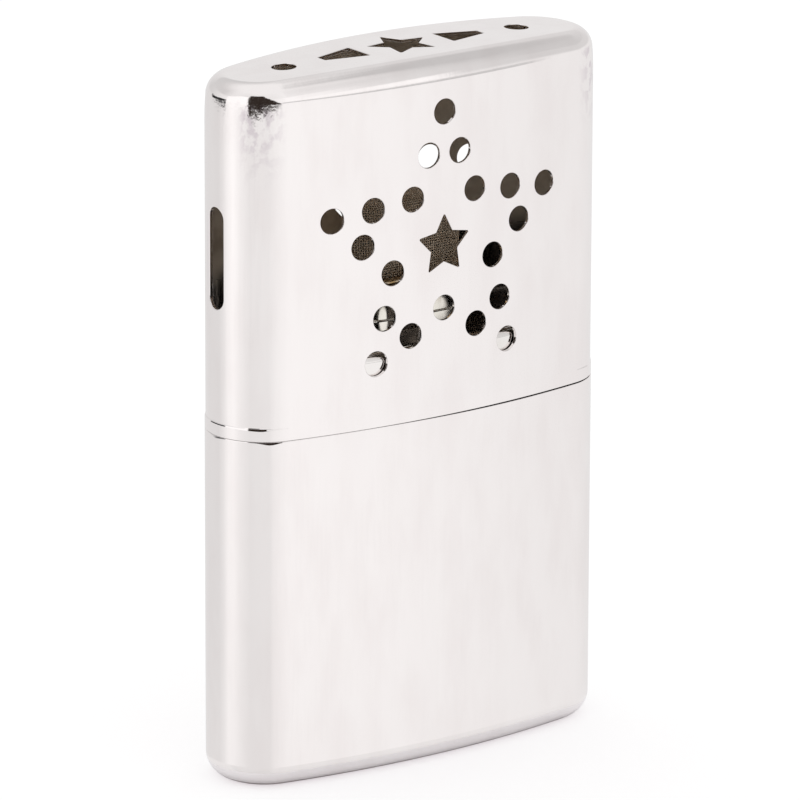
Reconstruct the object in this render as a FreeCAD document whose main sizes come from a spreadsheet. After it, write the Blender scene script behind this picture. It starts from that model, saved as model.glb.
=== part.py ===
"""Catalytic pocket hand warmer: drawn metal tank, perforated slip-on cap and lift-off burner.

Millimetres, +Z up.  X runs across the wide face, the front face looks along -Y, and the
origin is the middle of the face that the tank stands on.
"""
import FreeCAD, Part
import math
import os
import Sketcher

# Driving dimensions, in millimetres.
SIZES = {
    # Oval case, common to tank and cap
    "case_width": 62.0,
    "case_depth": 20.6,
    "case_height": 100.3,
    "face_radius": 130.0,
    "seam_height": 50.0,
    "seam_gap": 0.1,
    # Tank
    "tank_wall": 0.5,
    "base_radius": 3.4,
    "rim_rounding": 0.18,
    # Cap
    "cap_wall": 0.5,
    "rim_step": 0.12,
    "rim_band": 1.9,
    "rim_bevel": 0.35,
    "crown_height": 3.2,
    "crown_tilt": 14.0,
    "crown_rounding": 2.8,
    "crease_lean": 0.16,
    "crease_run": 4.0,
    "top_radius": 480.0,
    # Star of round holes in both faces of the cap
    "star_lift": 0.575,
    "star_radius": 18.75,
    "star_waist": 8.85,
    "hole_diameter": 3.55,
    "face_star_radius": 4.45,
    "face_star_waist": 2.3,
    # Openings in the top of the cap
    "top_star_radius": 5.05,
    "top_star_waist": 2.5,
    "vent_start": 7.0,
    "vent_end": 13.35,
    "vent_start_width": 5.3,
    "vent_end_width": 1.9,
    "top_hole_offset": 19.55,
    "top_hole_diameter": 3.4,
    # Slots in the ends of the cap
    "slot_lift": 1.3,
    "slot_length": 14.3,
    "slot_width": 3.3,
    # Neck that the cap slides over
    "neck_clearance": 0.2,
    "neck_rise": 10.2,
    "neck_tail": 5.6,
    "neck_wall": 0.5,
    "neck_rounding": 1.3,
    "solder_gap": 0.04,
    "grip_length": 8.0,
    "grip_height": 1.2,
    "grip_reach": 0.1,
    "grip_rise": 3.1,
    # Oval filler mouth in the deck
    "mouth_length": 20.4,
    "mouth_width": 9.2,
    "mouth_wall": 0.45,
    "mouth_rise": 6.0,
    "mouth_flange": 1.4,
    "mouth_rounding": 0.2,
    # Filling
    "fill_clearance": 0.3,
    "pad_depth": 5.0,
    "pad_thickness": 3.0,
    # Burner
    "slip_gap": 0.12,
    "skirt_wall": 0.4,
    "skirt_lift": 1.3,
    "bead_height": 2.0,
    "bead_step": 0.3,
    "skirt_rounding": 0.7,
    "seat_gap": 0.2,
    "plate_thickness": 0.5,
    "plate_hole": 1.3,
    "plate_pitch": 2.2,
    "ring_height": 1.2,
    "ring_width": 1.15,
    "cage_height": 11.3,
    "cage_inset": 1.15,
    "cage_wall": 0.35,
    "cage_flange": 0.75,
    "cage_rounding": 2.2,
    "gauze_window": 1.1,
    "gauze_pitch": 1.6,
    "mat_clearance": 0.3,
}

# Sizes that follow from the driving ones, as expressions over the sheet.
END_RADIUS = (
    "((sizes.face_radius * sizes.case_depth - (sizes.case_width ^ 2 + sizes.case_depth ^ 2) / 4)"
    " / (2 * sizes.face_radius - sizes.case_width))"
)
FACE_CENTRE = "(sizes.face_radius - sizes.case_depth / 2)"
END_CENTRE = f"(sizes.case_width / 2 - {END_RADIUS})"

TANK_TOP = "(sizes.seam_height - sizes.seam_gap / 2)"
CAP_FOOT = "(sizes.seam_height + sizes.seam_gap / 2)"
CAP_BAND_TOP = f"({CAP_FOOT} + sizes.rim_band)"
CAP_BORE_INSET = "(sizes.rim_step + sizes.cap_wall)"
CAP_CREASE = "(sizes.case_height - sizes.crown_height)"
CAP_CEILING = "(sizes.case_height - sizes.cap_wall)"
CEILING_CREASE = f"({CAP_CREASE} - sizes.cap_wall * sin(sizes.crown_tilt * 1 deg))"
ARCH_REACH = "(sizes.case_width / 2 + sizes.case_depth)"
CAP_MIDDLE = f"(({CAP_FOOT} + {CAP_CREASE}) / 2)"
STAR_HEIGHT = f"({CAP_MIDDLE} + sizes.star_lift)"
SLOT_HEIGHT = f"({CAP_MIDDLE} + sizes.slot_lift)"
NECK_INSET = f"({CAP_BORE_INSET} + sizes.neck_clearance)"
TAIL_INSET = "(sizes.tank_wall + sizes.solder_gap)"
NECK_FOOT = f"({TANK_TOP} - sizes.neck_tail)"
JOGGLE_HEIGHT = f"({TANK_TOP} - sizes.neck_wall)"
DECK_TOP = f"({TANK_TOP} + sizes.neck_rise)"
DECK_UNDERSIDE = f"({DECK_TOP} - sizes.neck_wall)"

MOUTH_TOP = f"({DECK_TOP} + sizes.mouth_rise)"
MOUTH_BORE_LENGTH = "(sizes.mouth_length - 2 * sizes.mouth_wall)"
MOUTH_BORE_WIDTH = "(sizes.mouth_width - 2 * sizes.mouth_wall)"
FLANGE_TOP = f"({DECK_UNDERSIDE} - sizes.solder_gap)"
FLANGE_FOOT = f"({FLANGE_TOP} - sizes.mouth_wall)"

FILL_FOOT = "(sizes.tank_wall + sizes.fill_clearance)"
FILL_SHOULDER = f"({NECK_FOOT} - sizes.fill_clearance)"
FILL_INSET = "(sizes.tank_wall + sizes.fill_clearance)"
FILL_NECK_INSET = f"({NECK_INSET} + sizes.neck_wall + sizes.fill_clearance)"
PAD_TOP = f"({MOUTH_TOP} - sizes.pad_depth)"
PAD_FOOT = f"({PAD_TOP} - sizes.pad_thickness)"
FILL_TOP = f"({PAD_FOOT} - sizes.fill_clearance)"

SKIRT_BORE_LENGTH = "(sizes.mouth_length + 2 * sizes.slip_gap)"
SKIRT_BORE_WIDTH = "(sizes.mouth_width + 2 * sizes.slip_gap)"
SKIRT_LENGTH = f"({SKIRT_BORE_LENGTH} + 2 * sizes.skirt_wall)"
SKIRT_WIDTH = f"({SKIRT_BORE_WIDTH} + 2 * sizes.skirt_wall)"
SKIRT_FOOT = f"({DECK_TOP} + sizes.skirt_lift)"
BEAD_TOP = f"({SKIRT_FOOT} + sizes.bead_height)"
PLATE_FOOT = f"({MOUTH_TOP} + sizes.seat_gap)"
PLATE_TOP = f"({PLATE_FOOT} + sizes.plate_thickness)"
INSERT_LENGTH = f"({SKIRT_BORE_LENGTH} - 2 * sizes.solder_gap)"
INSERT_WIDTH = f"({SKIRT_BORE_WIDTH} - 2 * sizes.solder_gap)"
RING_TOP = f"({PLATE_TOP} + sizes.ring_height)"
SKIRT_CEILING = f"({RING_TOP} + sizes.cage_wall + sizes.solder_gap)"
SKIRT_TOP = f"({SKIRT_CEILING} + sizes.skirt_wall)"
CAGE_LENGTH = f"({INSERT_LENGTH} - 2 * sizes.cage_inset)"
CAGE_WIDTH = f"({INSERT_WIDTH} - 2 * sizes.cage_inset)"
CAGE_TOP = f"({RING_TOP} + sizes.cage_height)"
MAT_LENGTH = f"({CAGE_LENGTH} - 2 * (sizes.cage_wall + sizes.mat_clearance))"
MAT_WIDTH = f"({CAGE_WIDTH} - 2 * (sizes.cage_wall + sizes.mat_clearance))"
MAT_TOP = f"({CAGE_TOP} - sizes.cage_wall - sizes.mat_clearance)"


STAR_POINTS = 5
FULL_TURN = 360
STAR_PITCH = FULL_TURN / STAR_POINTS
FIRST_TIP = 90
QUARTER_TURN = math.pi / 2

# How near an edge or a face lies to a level or a reach that it is looked for at.
NEARNESS = 0.005

doc = FreeCAD.newDocument("hand_warmer")


def value(expression):
    """Number that an expression over the sheet has now."""
    return float(sheet.evalExpression(expression))


def make_sheet():
    """Spreadsheet with one named cell for each driving dimension."""
    table = doc.addObject("Spreadsheet::Sheet", "sizes")
    for row, (name, size) in enumerate(SIZES.items(), start=1):
        table.set(f"A{row}", name)
        table.set(f"B{row}", str(size))
        table.setAlias(f"B{row}", name)
    doc.recompute()
    return table


sheet = make_sheet()


def make_body(label):
    """Empty body whose label is the sub-part's name."""
    body = doc.addObject("PartDesign::Body", label)
    body.Label = label
    return body


def bind(feature, **expressions):
    """Tie properties of a feature to the sheet."""
    for name, expression in expressions.items():
        feature.setExpression(name, expression)
    return feature


def make_sketch(body, name, plane="XY_Plane", offset="0"):
    """Sketch on one of the body's own origin planes, moved along its normal."""
    sketch = body.newObject("Sketcher::SketchObject", f"{body.Name}_{name}")
    support = next(item for item in body.Origin.OriginFeatures if item.Role == plane)
    sketch.AttachmentSupport = [(support, "")]
    sketch.MapMode = "FlatFace"
    sketch.setExpression("AttachmentOffset.Base.z", offset)
    return sketch


def drive(sketch, kind, expression, *where):
    """Dimension constraint that takes its size from the sheet."""
    index = sketch.addConstraint(Sketcher.Constraint(kind, *where, value(expression)))
    sketch.setExpression(f"Constraints[{index}]", expression)


def place(sketch, item, point, across, up):
    """Fix a point of a sketch element at its distances from the sketch origin."""
    drive(sketch, "DistanceX", across, -1, 1, item, point)
    drive(sketch, "DistanceY", up, -1, 1, item, point)


def arc(centre, radius, start, end):
    """Circular arc drawn anticlockwise between two angles in radians."""
    circle = Part.Circle(FreeCAD.Vector(*centre, 0), FreeCAD.Vector(0, 0, 1), radius)
    return Part.ArcOfCircle(circle, start, end)


def draw_case_outline(sketch, inset):
    """Oval of two long face arcs and two end arcs, each tangent to the next.

    A smaller oval has the same four centres, so only its radii lose the inset.
    """
    face_centre = value(FACE_CENTRE)
    end_centre = value(END_CENTRE)
    face_radius = value(f"sizes.face_radius - {inset}")
    end_radius = value(f"{END_RADIUS} - {inset}")
    turn = math.atan2(end_centre, face_centre)
    back_way, left_way, front_way, right_way = (QUARTER_TURN * step for step in (1, 2, 3, 4))
    side = QUARTER_TURN - turn
    arcs = (
        arc((0, -face_centre), face_radius, back_way - turn, back_way + turn),
        arc((-end_centre, 0), end_radius, left_way - side, left_way + side),
        arc((0, face_centre), face_radius, front_way - turn, front_way + turn),
        arc((end_centre, 0), end_radius, right_way - side, right_way + side),
    )
    back, left, front, right = (sketch.addGeometry(item, False) for item in arcs)
    for first, second in ((back, left), (left, front), (front, right)):
        sketch.addConstraint(Sketcher.Constraint("Tangent", first, 2, second, 1))
    sketch.addConstraint(Sketcher.Constraint("Horizontal", back, 1, back, 2))
    sketch.addConstraint(Sketcher.Constraint("Vertical", right, 1, right, 2))
    sketch.addConstraint(Sketcher.Constraint("PointOnObject", front, 3, -2))
    sketch.addConstraint(Sketcher.Constraint("PointOnObject", right, 3, -1))
    sketch.addConstraint(Sketcher.Constraint("Equal", back, front))
    place(sketch, back, 3, "0", f"-{FACE_CENTRE}")
    place(sketch, left, 3, f"-{END_CENTRE}", "0")
    drive(sketch, "DistanceX", END_CENTRE, -1, 1, right, 3)
    drive(sketch, "Radius", f"sizes.face_radius - {inset}", back)


def draw_slot(sketch, length, width, centre="0", upright=False):
    """Slot with round ends, about a point on the sketch's vertical axis."""
    radius = value(f"{width} / 2")
    reach = f"({length} - {width}) / 2"
    half = value(reach)
    middle = value(centre)
    if upright:
        start = 0
        ends = ((0, middle + half), (0, middle - half))
        offsets = (("0", f"{centre} + {reach}"), ("0", f"{centre} - {reach}"))
    else:
        start = -QUARTER_TURN
        ends = ((half, middle), (-half, middle))
        offsets = ((reach, centre), (f"-{reach}", centre))
    caps = []
    for index, end in enumerate(ends):
        first = start + index * math.pi
        caps.append(arc(end, radius, first, first + math.pi))
    sides = (
        Part.LineSegment(caps[0].EndPoint, caps[1].StartPoint),
        Part.LineSegment(caps[1].EndPoint, caps[0].StartPoint),
    )
    order = [sketch.addGeometry(item, False) for item in (caps[0], sides[0], caps[1], sides[1])]
    for first, second in zip(order, order[1:] + order[:1]):
        sketch.addConstraint(Sketcher.Constraint("Tangent", first, 2, second, 1))
    sketch.addConstraint(Sketcher.Constraint("Equal", order[0], order[2]))
    drive(sketch, "Radius", f"{width} / 2", order[0])
    for item, (across, up) in zip((order[0], order[2]), offsets):
        place(sketch, item, 3, across, up)


def draw_circle(sketch, across, up, diameter):
    """Round hole at its distances from the sketch origin."""
    centre = FreeCAD.Vector(value(across), value(up), 0)
    circle = Part.Circle(centre, FreeCAD.Vector(0, 0, 1), value(f"{diameter} / 2"))
    item = sketch.addGeometry(circle, False)
    drive(sketch, "Diameter", diameter, item)
    place(sketch, item, 3, across, up)


def draw_polygon(sketch, corners):
    """Closed polygon through corners given as pairs of expressions."""
    points = [FreeCAD.Vector(value(across), value(up), 0) for across, up in corners]
    sides = []
    for start, end in zip(points, points[1:] + points[:1]):
        sides.append(sketch.addGeometry(Part.LineSegment(start, end), False))
    for first, second in zip(sides, sides[1:] + sides[:1]):
        sketch.addConstraint(Sketcher.Constraint("Coincident", first, 2, second, 1))
    for side, (across, up) in zip(sides, corners):
        place(sketch, side, 1, across, up)


def polar(radius, degrees):
    """Expressions for a point at an angle from the sketch's horizontal axis."""
    return (f"{radius} * cos({degrees} deg)", f"{radius} * sin({degrees} deg)")


def star_corners(radius, waist):
    """Corners of a five-pointed star with one tip straight up."""
    corners = []
    for point in range(STAR_POINTS):
        tip = FIRST_TIP + point * STAR_PITCH
        corners.append(polar(radius, tip))
        corners.append(polar(waist, tip + STAR_PITCH / 2))
    return corners


def pad(body, sketch, name, length):
    """Material raised from a sketch along its normal."""
    feature = body.newObject("PartDesign::Pad", f"{body.Name}_{name}")
    feature.Profile = sketch
    return bind(feature, Length=length)


def pocket(body, sketch, name, depth, upward=False):
    """Material cut from a sketch, downward unless told otherwise."""
    feature = body.newObject("PartDesign::Pocket", f"{body.Name}_{name}")
    feature.Profile = sketch
    feature.Reversed = upward
    return bind(feature, Length=depth)


def pocket_through(body, sketch, name):
    """Cut through the whole body, both ways from the sketch."""
    feature = body.newObject("PartDesign::Pocket", f"{body.Name}_{name}")
    feature.Profile = sketch
    feature.Type = "ThroughAll"
    feature.SideType = "Symmetric"
    return feature


def edges_at(feature, height, reach_x, reach_y):
    """Names of the level edges at a height whose outline has the given half sizes."""
    doc.recompute()
    level = value(height)
    half_x = value(reach_x)
    half_y = value(reach_y)
    names = []
    for index, edge in enumerate(feature.Shape.Edges, start=1):
        box = edge.optimalBoundingBox(False, False)
        flat = max(abs(box.ZMin - level), abs(box.ZMax - level)) < NEARNESS
        along_x = abs(max(box.XMax, -box.XMin) - half_x) < NEARNESS
        along_y = abs(max(box.YMax, -box.YMin) - half_y) < NEARNESS
        if flat and (along_x or along_y):
            names.append(f"Edge{index}")
    return names


def case_reach(inset):
    """Half width and half depth of the case outline at an inset."""
    return f"sizes.case_width / 2 - {inset}", f"sizes.case_depth / 2 - {inset}"


def fillet(body, base, name, edges, radius):
    """Rounded edges."""
    feature = body.newObject("PartDesign::Fillet", f"{body.Name}_{name}")
    feature.Base = (base, edges)
    return bind(feature, Radius=radius)


def bevel(body, base, name, edges, level_size, upright_size):
    """Bevelled edges with one size along the level face and another down the wall."""
    feature = body.newObject("PartDesign::Chamfer", f"{body.Name}_{name}")
    feature.Base = (base, edges)
    feature.ChamferType = "Two distances"
    return bind(feature, Size=upright_size, Size2=level_size)


def hollow(body, base, name, height, wall):
    """Shell of even wall, left open at the level face at a height."""
    doc.recompute()
    level = value(height)
    faces = []
    for index, face in enumerate(base.Shape.Faces, start=1):
        box = face.BoundBox
        if max(abs(box.ZMin - level), abs(box.ZMax - level)) < NEARNESS:
            faces.append(f"Face{index}")
    feature = body.newObject("PartDesign::Thickness", f"{body.Name}_{name}")
    feature.Base = (base, faces)
    feature.Reversed = True
    feature.Join = "Intersection"
    return bind(feature, Value=wall)


def grid_cut(body, cut, name, directions):
    """Repeat a cut in rows and columns; each direction is (sketch axis, length, count)."""
    sketch = cut.Profile[0]
    steps = []
    for axis, length, count in directions:
        step = body.newObject("PartDesign::LinearPattern", f"{body.Name}_{name}_{axis}")
        step.Direction = (sketch, [axis])
        step.Occurrences = count
        bind(step, Length=length)
        steps.append(step)
    pattern = body.newObject("PartDesign::MultiTransform", f"{body.Name}_{name}")
    pattern.Originals = [cut]
    pattern.Transformations = steps
    body.Tip = pattern
    return pattern


def make_tank_shell():
    """Deep-drawn lower case, open at the top, with a generous radius round its base."""
    body = make_body("tank_shell")
    outline = make_sketch(body, "outline")
    draw_case_outline(outline, "0")
    block = pad(body, outline, "block", TANK_TOP)
    base_edges = edges_at(block, "0", *case_reach("0"))
    rounded = fillet(body, block, "base", base_edges, "sizes.base_radius")
    shell = hollow(body, rounded, "shell", TANK_TOP, "sizes.tank_wall")
    rim_edges = edges_at(shell, TANK_TOP, *case_reach("0"))
    fillet(body, shell, "rim", rim_edges, "sizes.rim_rounding")
    return body


def raise_cap_block(body, inset, foot, crease, top, top_radius, rounding):
    """Solid block of the cap's form: wall, slight lean up to the crease, and crowned top.

    Above the crease the wall leans in by the crown's tilt and turns over into a top that
    is very slightly arched along its length.
    """
    wall_outline = make_sketch(body, "wall_outline", offset=foot)
    draw_case_outline(wall_outline, inset)
    wall = pad(body, wall_outline, "wall", f"{crease} - {foot}")
    crease_edges = edges_at(wall, crease, *case_reach(inset))
    bevel(body, wall, "lean", crease_edges, "sizes.crease_lean", "sizes.crease_run")
    crown_outline = make_sketch(body, "crown_outline", offset=crease)
    draw_case_outline(crown_outline, f"({inset} + sizes.crease_lean)")
    crown = pad(body, crown_outline, "crown", f"{top} - {crease}")
    bind(crown, TaperAngle="-sizes.crown_tilt")
    arch = make_sketch(body, "arch", plane="XZ_Plane")
    draw_arch(arch, top, top_radius)
    arched = pocket_through(body, arch, "top_arch")
    return fillet(body, arched, "shoulder", top_edges(arched), rounding)


def draw_arch(sketch, top, radius):
    """Region over a shallow arc whose highest point is on the sketch's vertical axis."""
    reach = value(ARCH_REACH)
    crest = value(top)
    bend = value(radius)
    half = math.asin(reach / bend)
    curve = arc((0, crest - bend), bend, QUARTER_TURN - half, QUARTER_TURN + half)
    left = FreeCAD.Vector(-reach, crest + reach, 0)
    right = FreeCAD.Vector(reach, crest + reach, 0)
    lines = (
        curve,
        Part.LineSegment(curve.EndPoint, left),
        Part.LineSegment(left, right),
        Part.LineSegment(right, curve.StartPoint),
    )
    order = [sketch.addGeometry(item, False) for item in lines]
    for first, second in zip(order, order[1:] + order[:1]):
        sketch.addConstraint(Sketcher.Constraint("Coincident", first, 2, second, 1))
    bottom, left_side, ceiling, right_side = order
    drive(sketch, "Radius", radius, bottom)
    place(sketch, bottom, 3, "0", f"{top} - {radius}")
    place(sketch, left_side, 2, f"-{ARCH_REACH}", f"{top} + {ARCH_REACH}")
    place(sketch, ceiling, 2, ARCH_REACH, f"{top} + {ARCH_REACH}")
    sketch.addConstraint(Sketcher.Constraint("Vertical", left_side))
    sketch.addConstraint(Sketcher.Constraint("Vertical", right_side))


def top_edges(feature):
    """Names of the edges round the highest face."""
    doc.recompute()
    top = max(feature.Shape.Faces, key=lambda face: face.CenterOfMass.z)
    names = []
    for index, edge in enumerate(feature.Shape.Edges, start=1):
        if any(edge.isSame(side) for side in top.Edges):
            names.append(f"Edge{index}")
    return names


def make_cap_shell():
    """Drawn cap with a star of holes in both faces, vents in its top and a slot in each end."""
    cavity = make_body("cap_cavity")
    raise_cap_block(
        cavity,
        CAP_BORE_INSET,
        CAP_FOOT,
        CEILING_CREASE,
        CAP_CEILING,
        "(sizes.top_radius - sizes.cap_wall)",
        "(sizes.crown_rounding - sizes.cap_wall)",
    )

    body = make_body("cap_shell")
    band_outline = make_sketch(body, "band_outline", offset=CAP_FOOT)
    draw_case_outline(band_outline, "0")
    band = pad(body, band_outline, "band", "sizes.rim_band")
    band_edges = edges_at(band, CAP_BAND_TOP, *case_reach("0"))
    bevel(body, band, "band_bevel", band_edges, "sizes.rim_step", "sizes.rim_bevel")
    raise_cap_block(
        body,
        "sizes.rim_step",
        CAP_BAND_TOP,
        CAP_CREASE,
        "sizes.case_height",
        "sizes.top_radius",
        "sizes.crown_rounding",
    )
    shell = body.newObject("PartDesign::Boolean", "cap_shell_shell")
    shell.Type = "Cut"
    shell.setObjects([cavity])

    cut_face_star(body)
    cut_top_openings(body)
    cut_end_slots(body)
    return body


def cut_face_star(body):
    """Star outlined in round holes through both faces, with a star-shaped hole at its heart.

    A fifth of the outline is one tip, the waist beside it and the middles of the two
    sides that meet there; the fifth is repeated about the heart of the star.
    """
    tip = polar("sizes.star_radius", FIRST_TIP)
    waist = polar("sizes.star_waist", FIRST_TIP + STAR_PITCH / 2)
    next_tip = polar("sizes.star_radius", FIRST_TIP + STAR_PITCH)
    sketch = make_sketch(body, "star_holes", plane="XZ_Plane")
    sketch.setExpression("AttachmentOffset.Base.y", STAR_HEIGHT)
    draw_circle(sketch, *tip, "sizes.hole_diameter")
    draw_circle(sketch, *waist, "sizes.hole_diameter")
    for end in (tip, next_tip):
        middle = [f"({start} + {stop}) / 2" for start, stop in zip(end, waist)]
        draw_circle(sketch, *middle, "sizes.hole_diameter")
    holes = pocket_through(body, sketch, "star_fifth")
    around = body.newObject("PartDesign::PolarPattern", "cap_shell_star_outline")
    around.Originals = [holes]
    around.Axis = (sketch, ["N_Axis"])
    around.Angle = FULL_TURN
    around.Occurrences = STAR_POINTS
    body.Tip = around

    heart = make_sketch(body, "face_star", plane="XZ_Plane")
    heart.setExpression("AttachmentOffset.Base.y", STAR_HEIGHT)
    draw_polygon(heart, star_corners("sizes.face_star_radius", "sizes.face_star_waist"))
    pocket_through(body, heart, "face_star_cut")


def cut_top_openings(body):
    """Star, a tapered vent each side of it and a round hole near each end of the top."""
    sketch = make_sketch(body, "top_openings", offset="sizes.case_height")
    draw_polygon(sketch, star_corners("sizes.top_star_radius", "sizes.top_star_waist"))
    for side in ("", "-"):
        corners = (
            (f"{side}sizes.vent_start", "-sizes.vent_start_width / 2"),
            (f"{side}sizes.vent_end", "-sizes.vent_end_width / 2"),
            (f"{side}sizes.vent_end", "sizes.vent_end_width / 2"),
            (f"{side}sizes.vent_start", "sizes.vent_start_width / 2"),
        )
        draw_polygon(sketch, corners)
        draw_circle(sketch, f"{side}sizes.top_hole_offset", "0", "sizes.top_hole_diameter")
    pocket(body, sketch, "top_cut", "sizes.crown_height")


def cut_end_slots(body):
    """Upright slot through each end wall."""
    sketch = make_sketch(body, "end_slots", plane="YZ_Plane")
    draw_slot(sketch, "sizes.slot_length", "sizes.slot_width", SLOT_HEIGHT, upright=True)
    pocket_through(body, sketch, "end_slot_cut")


def make_neck_sleeve():
    """Insert of the tank: tail soldered inside the rim, band for the cap, and a flat deck."""
    body = make_body("neck_sleeve")
    tail_outline = make_sketch(body, "tail_outline", offset=NECK_FOOT)
    draw_case_outline(tail_outline, TAIL_INSET)
    tail = pad(body, tail_outline, "tail", f"{JOGGLE_HEIGHT} - {NECK_FOOT}")
    tail_edges = edges_at(tail, JOGGLE_HEIGHT, *case_reach(TAIL_INSET))
    joggle_step = f"({NECK_INSET} - {TAIL_INSET})"
    bevel(body, tail, "joggle", tail_edges, joggle_step, joggle_step)
    band_outline = make_sketch(body, "band_outline", offset=JOGGLE_HEIGHT)
    draw_case_outline(band_outline, NECK_INSET)
    band = pad(body, band_outline, "band", f"{DECK_TOP} - {JOGGLE_HEIGHT}")
    deck_edges = edges_at(band, DECK_TOP, *case_reach(NECK_INSET))
    fillet(body, band, "shoulder", deck_edges, "sizes.neck_rounding")

    cavity = make_body("neck_cavity")
    bore_outline = make_sketch(cavity, "bore_outline", offset=NECK_FOOT)
    bore_inset = f"({NECK_INSET} + sizes.neck_wall)"
    draw_case_outline(bore_outline, bore_inset)
    bore = pad(cavity, bore_outline, "bore", f"{DECK_UNDERSIDE} - {NECK_FOOT}")
    bore_edges = edges_at(bore, DECK_UNDERSIDE, *case_reach(bore_inset))
    bore_rounding = "(sizes.neck_rounding - sizes.neck_wall)"
    fillet(cavity, bore, "bore_shoulder", bore_edges, bore_rounding)
    shell = body.newObject("PartDesign::Boolean", "neck_sleeve_shell")
    shell.Type = "Cut"
    shell.setObjects([cavity])

    opening = make_sketch(body, "mouth_opening", offset=DECK_TOP)
    draw_slot(
        opening,
        "(sizes.mouth_length + 2 * sizes.solder_gap)",
        "(sizes.mouth_width + 2 * sizes.solder_gap)",
    )
    pocket(body, opening, "mouth_cut", "2 * sizes.neck_wall")
    raise_grips(body)
    return body


def raise_grips(body):
    """Low pressed rib on the front and on the back of the neck, which hold the cap by friction."""
    reach = f"(sizes.case_depth / 2 - {NECK_INSET} + sizes.grip_reach)"
    sketch = make_sketch(body, "grip", plane="XZ_Plane", offset=reach)
    draw_slot(sketch, "sizes.grip_length", "sizes.grip_height", f"({TANK_TOP} + sizes.grip_rise)")
    rib = pad(body, sketch, "grip_rib", "sizes.grip_reach + sizes.neck_wall / 2")
    rib.Reversed = True
    mirror = body.newObject("PartDesign::Mirrored", "neck_sleeve_grips")
    mirror.Originals = [rib]
    front_plane = next(item for item in body.Origin.OriginFeatures if item.Role == "XZ_Plane")
    mirror.MirrorPlane = (front_plane, [""])
    body.Tip = mirror


def make_filler_mouth():
    """Oval tube that stands in the deck, with a flange soldered to the deck's underside."""
    body = make_body("filler_mouth")
    flange_outline = make_sketch(body, "flange_outline", offset=FLANGE_FOOT)
    draw_slot(
        flange_outline,
        "(sizes.mouth_length + 2 * sizes.mouth_flange)",
        "(sizes.mouth_width + 2 * sizes.mouth_flange)",
    )
    pad(body, flange_outline, "flange", "sizes.mouth_wall")
    tube_outline = make_sketch(body, "tube_outline", offset=FLANGE_FOOT)
    draw_slot(tube_outline, "sizes.mouth_length", "sizes.mouth_width")
    tube = pad(body, tube_outline, "tube", f"{MOUTH_TOP} - {FLANGE_FOOT}")
    rim_edges = edges_at(tube, MOUTH_TOP, "sizes.mouth_length / 2", "sizes.mouth_width / 2")
    fillet(body, tube, "rim", rim_edges, "sizes.mouth_rounding")
    bore_outline = make_sketch(body, "bore_outline", offset=MOUTH_TOP)
    draw_slot(bore_outline, MOUTH_BORE_LENGTH, MOUTH_BORE_WIDTH)
    pocket_through(body, bore_outline, "bore")
    return body


def make_cotton_fill():
    """Wadding that holds the fuel: fills the tank and narrows inside the neck."""
    body = make_body("cotton_fill")
    lower_outline = make_sketch(body, "lower_outline", offset=FILL_FOOT)
    draw_case_outline(lower_outline, FILL_INSET)
    lower = pad(body, lower_outline, "lower", f"{FILL_SHOULDER} - {FILL_FOOT}")
    base_edges = edges_at(lower, FILL_FOOT, *case_reach(FILL_INSET))
    fillet(body, lower, "base", base_edges, f"(sizes.base_radius - {FILL_INSET})")
    upper_outline = make_sketch(body, "upper_outline", offset=FILL_SHOULDER)
    draw_case_outline(upper_outline, FILL_NECK_INSET)
    pad(body, upper_outline, "upper", f"{FILL_TOP} - {FILL_SHOULDER}")
    return body


def make_wick_pad():
    """Felt pad that closes the foot of the filler mouth and keeps the wadding down."""
    body = make_body("wick_pad")
    outline = make_sketch(body, "outline", offset=PAD_FOOT)
    draw_slot(
        outline,
        f"({MOUTH_BORE_LENGTH} - 2 * sizes.fill_clearance)",
        f"({MOUTH_BORE_WIDTH} - 2 * sizes.fill_clearance)",
    )
    pad(body, outline, "felt", "sizes.pad_thickness")
    return body


def make_burner_skirt():
    """Oval collar that slips over the filler mouth, with a turned-out foot band."""
    body = make_body("burner_skirt")
    foot_length = f"({SKIRT_LENGTH} + 2 * sizes.bead_step)"
    foot_width = f"({SKIRT_WIDTH} + 2 * sizes.bead_step)"
    foot_outline = make_sketch(body, "foot_outline", offset=SKIRT_FOOT)
    draw_slot(foot_outline, foot_length, foot_width)
    foot = pad(body, foot_outline, "foot", "sizes.bead_height")
    foot_edges = edges_at(foot, BEAD_TOP, f"{foot_length} / 2", f"{foot_width} / 2")
    fillet(body, foot, "foot_edge", foot_edges, "sizes.bead_step")
    wall_outline = make_sketch(body, "wall_outline", offset=BEAD_TOP)
    draw_slot(wall_outline, SKIRT_LENGTH, SKIRT_WIDTH)
    wall = pad(body, wall_outline, "wall", f"{SKIRT_TOP} - {BEAD_TOP}")
    top_edges = edges_at(wall, SKIRT_TOP, f"{SKIRT_LENGTH} / 2", f"{SKIRT_WIDTH} / 2")
    fillet(body, wall, "shoulder", top_edges, "sizes.skirt_rounding")
    bore_outline = make_sketch(body, "bore_outline", offset=SKIRT_CEILING)
    draw_slot(bore_outline, SKIRT_BORE_LENGTH, SKIRT_BORE_WIDTH)
    pocket(body, bore_outline, "bore", f"{SKIRT_CEILING} - {SKIRT_FOOT}")
    window = make_sketch(body, "cage_window", offset=SKIRT_TOP)
    draw_slot(
        window,
        f"({CAGE_LENGTH} + 2 * sizes.solder_gap)",
        f"({CAGE_WIDTH} + 2 * sizes.solder_gap)",
    )
    pocket(body, window, "cage_cut", "2 * sizes.skirt_wall")
    return body


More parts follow.
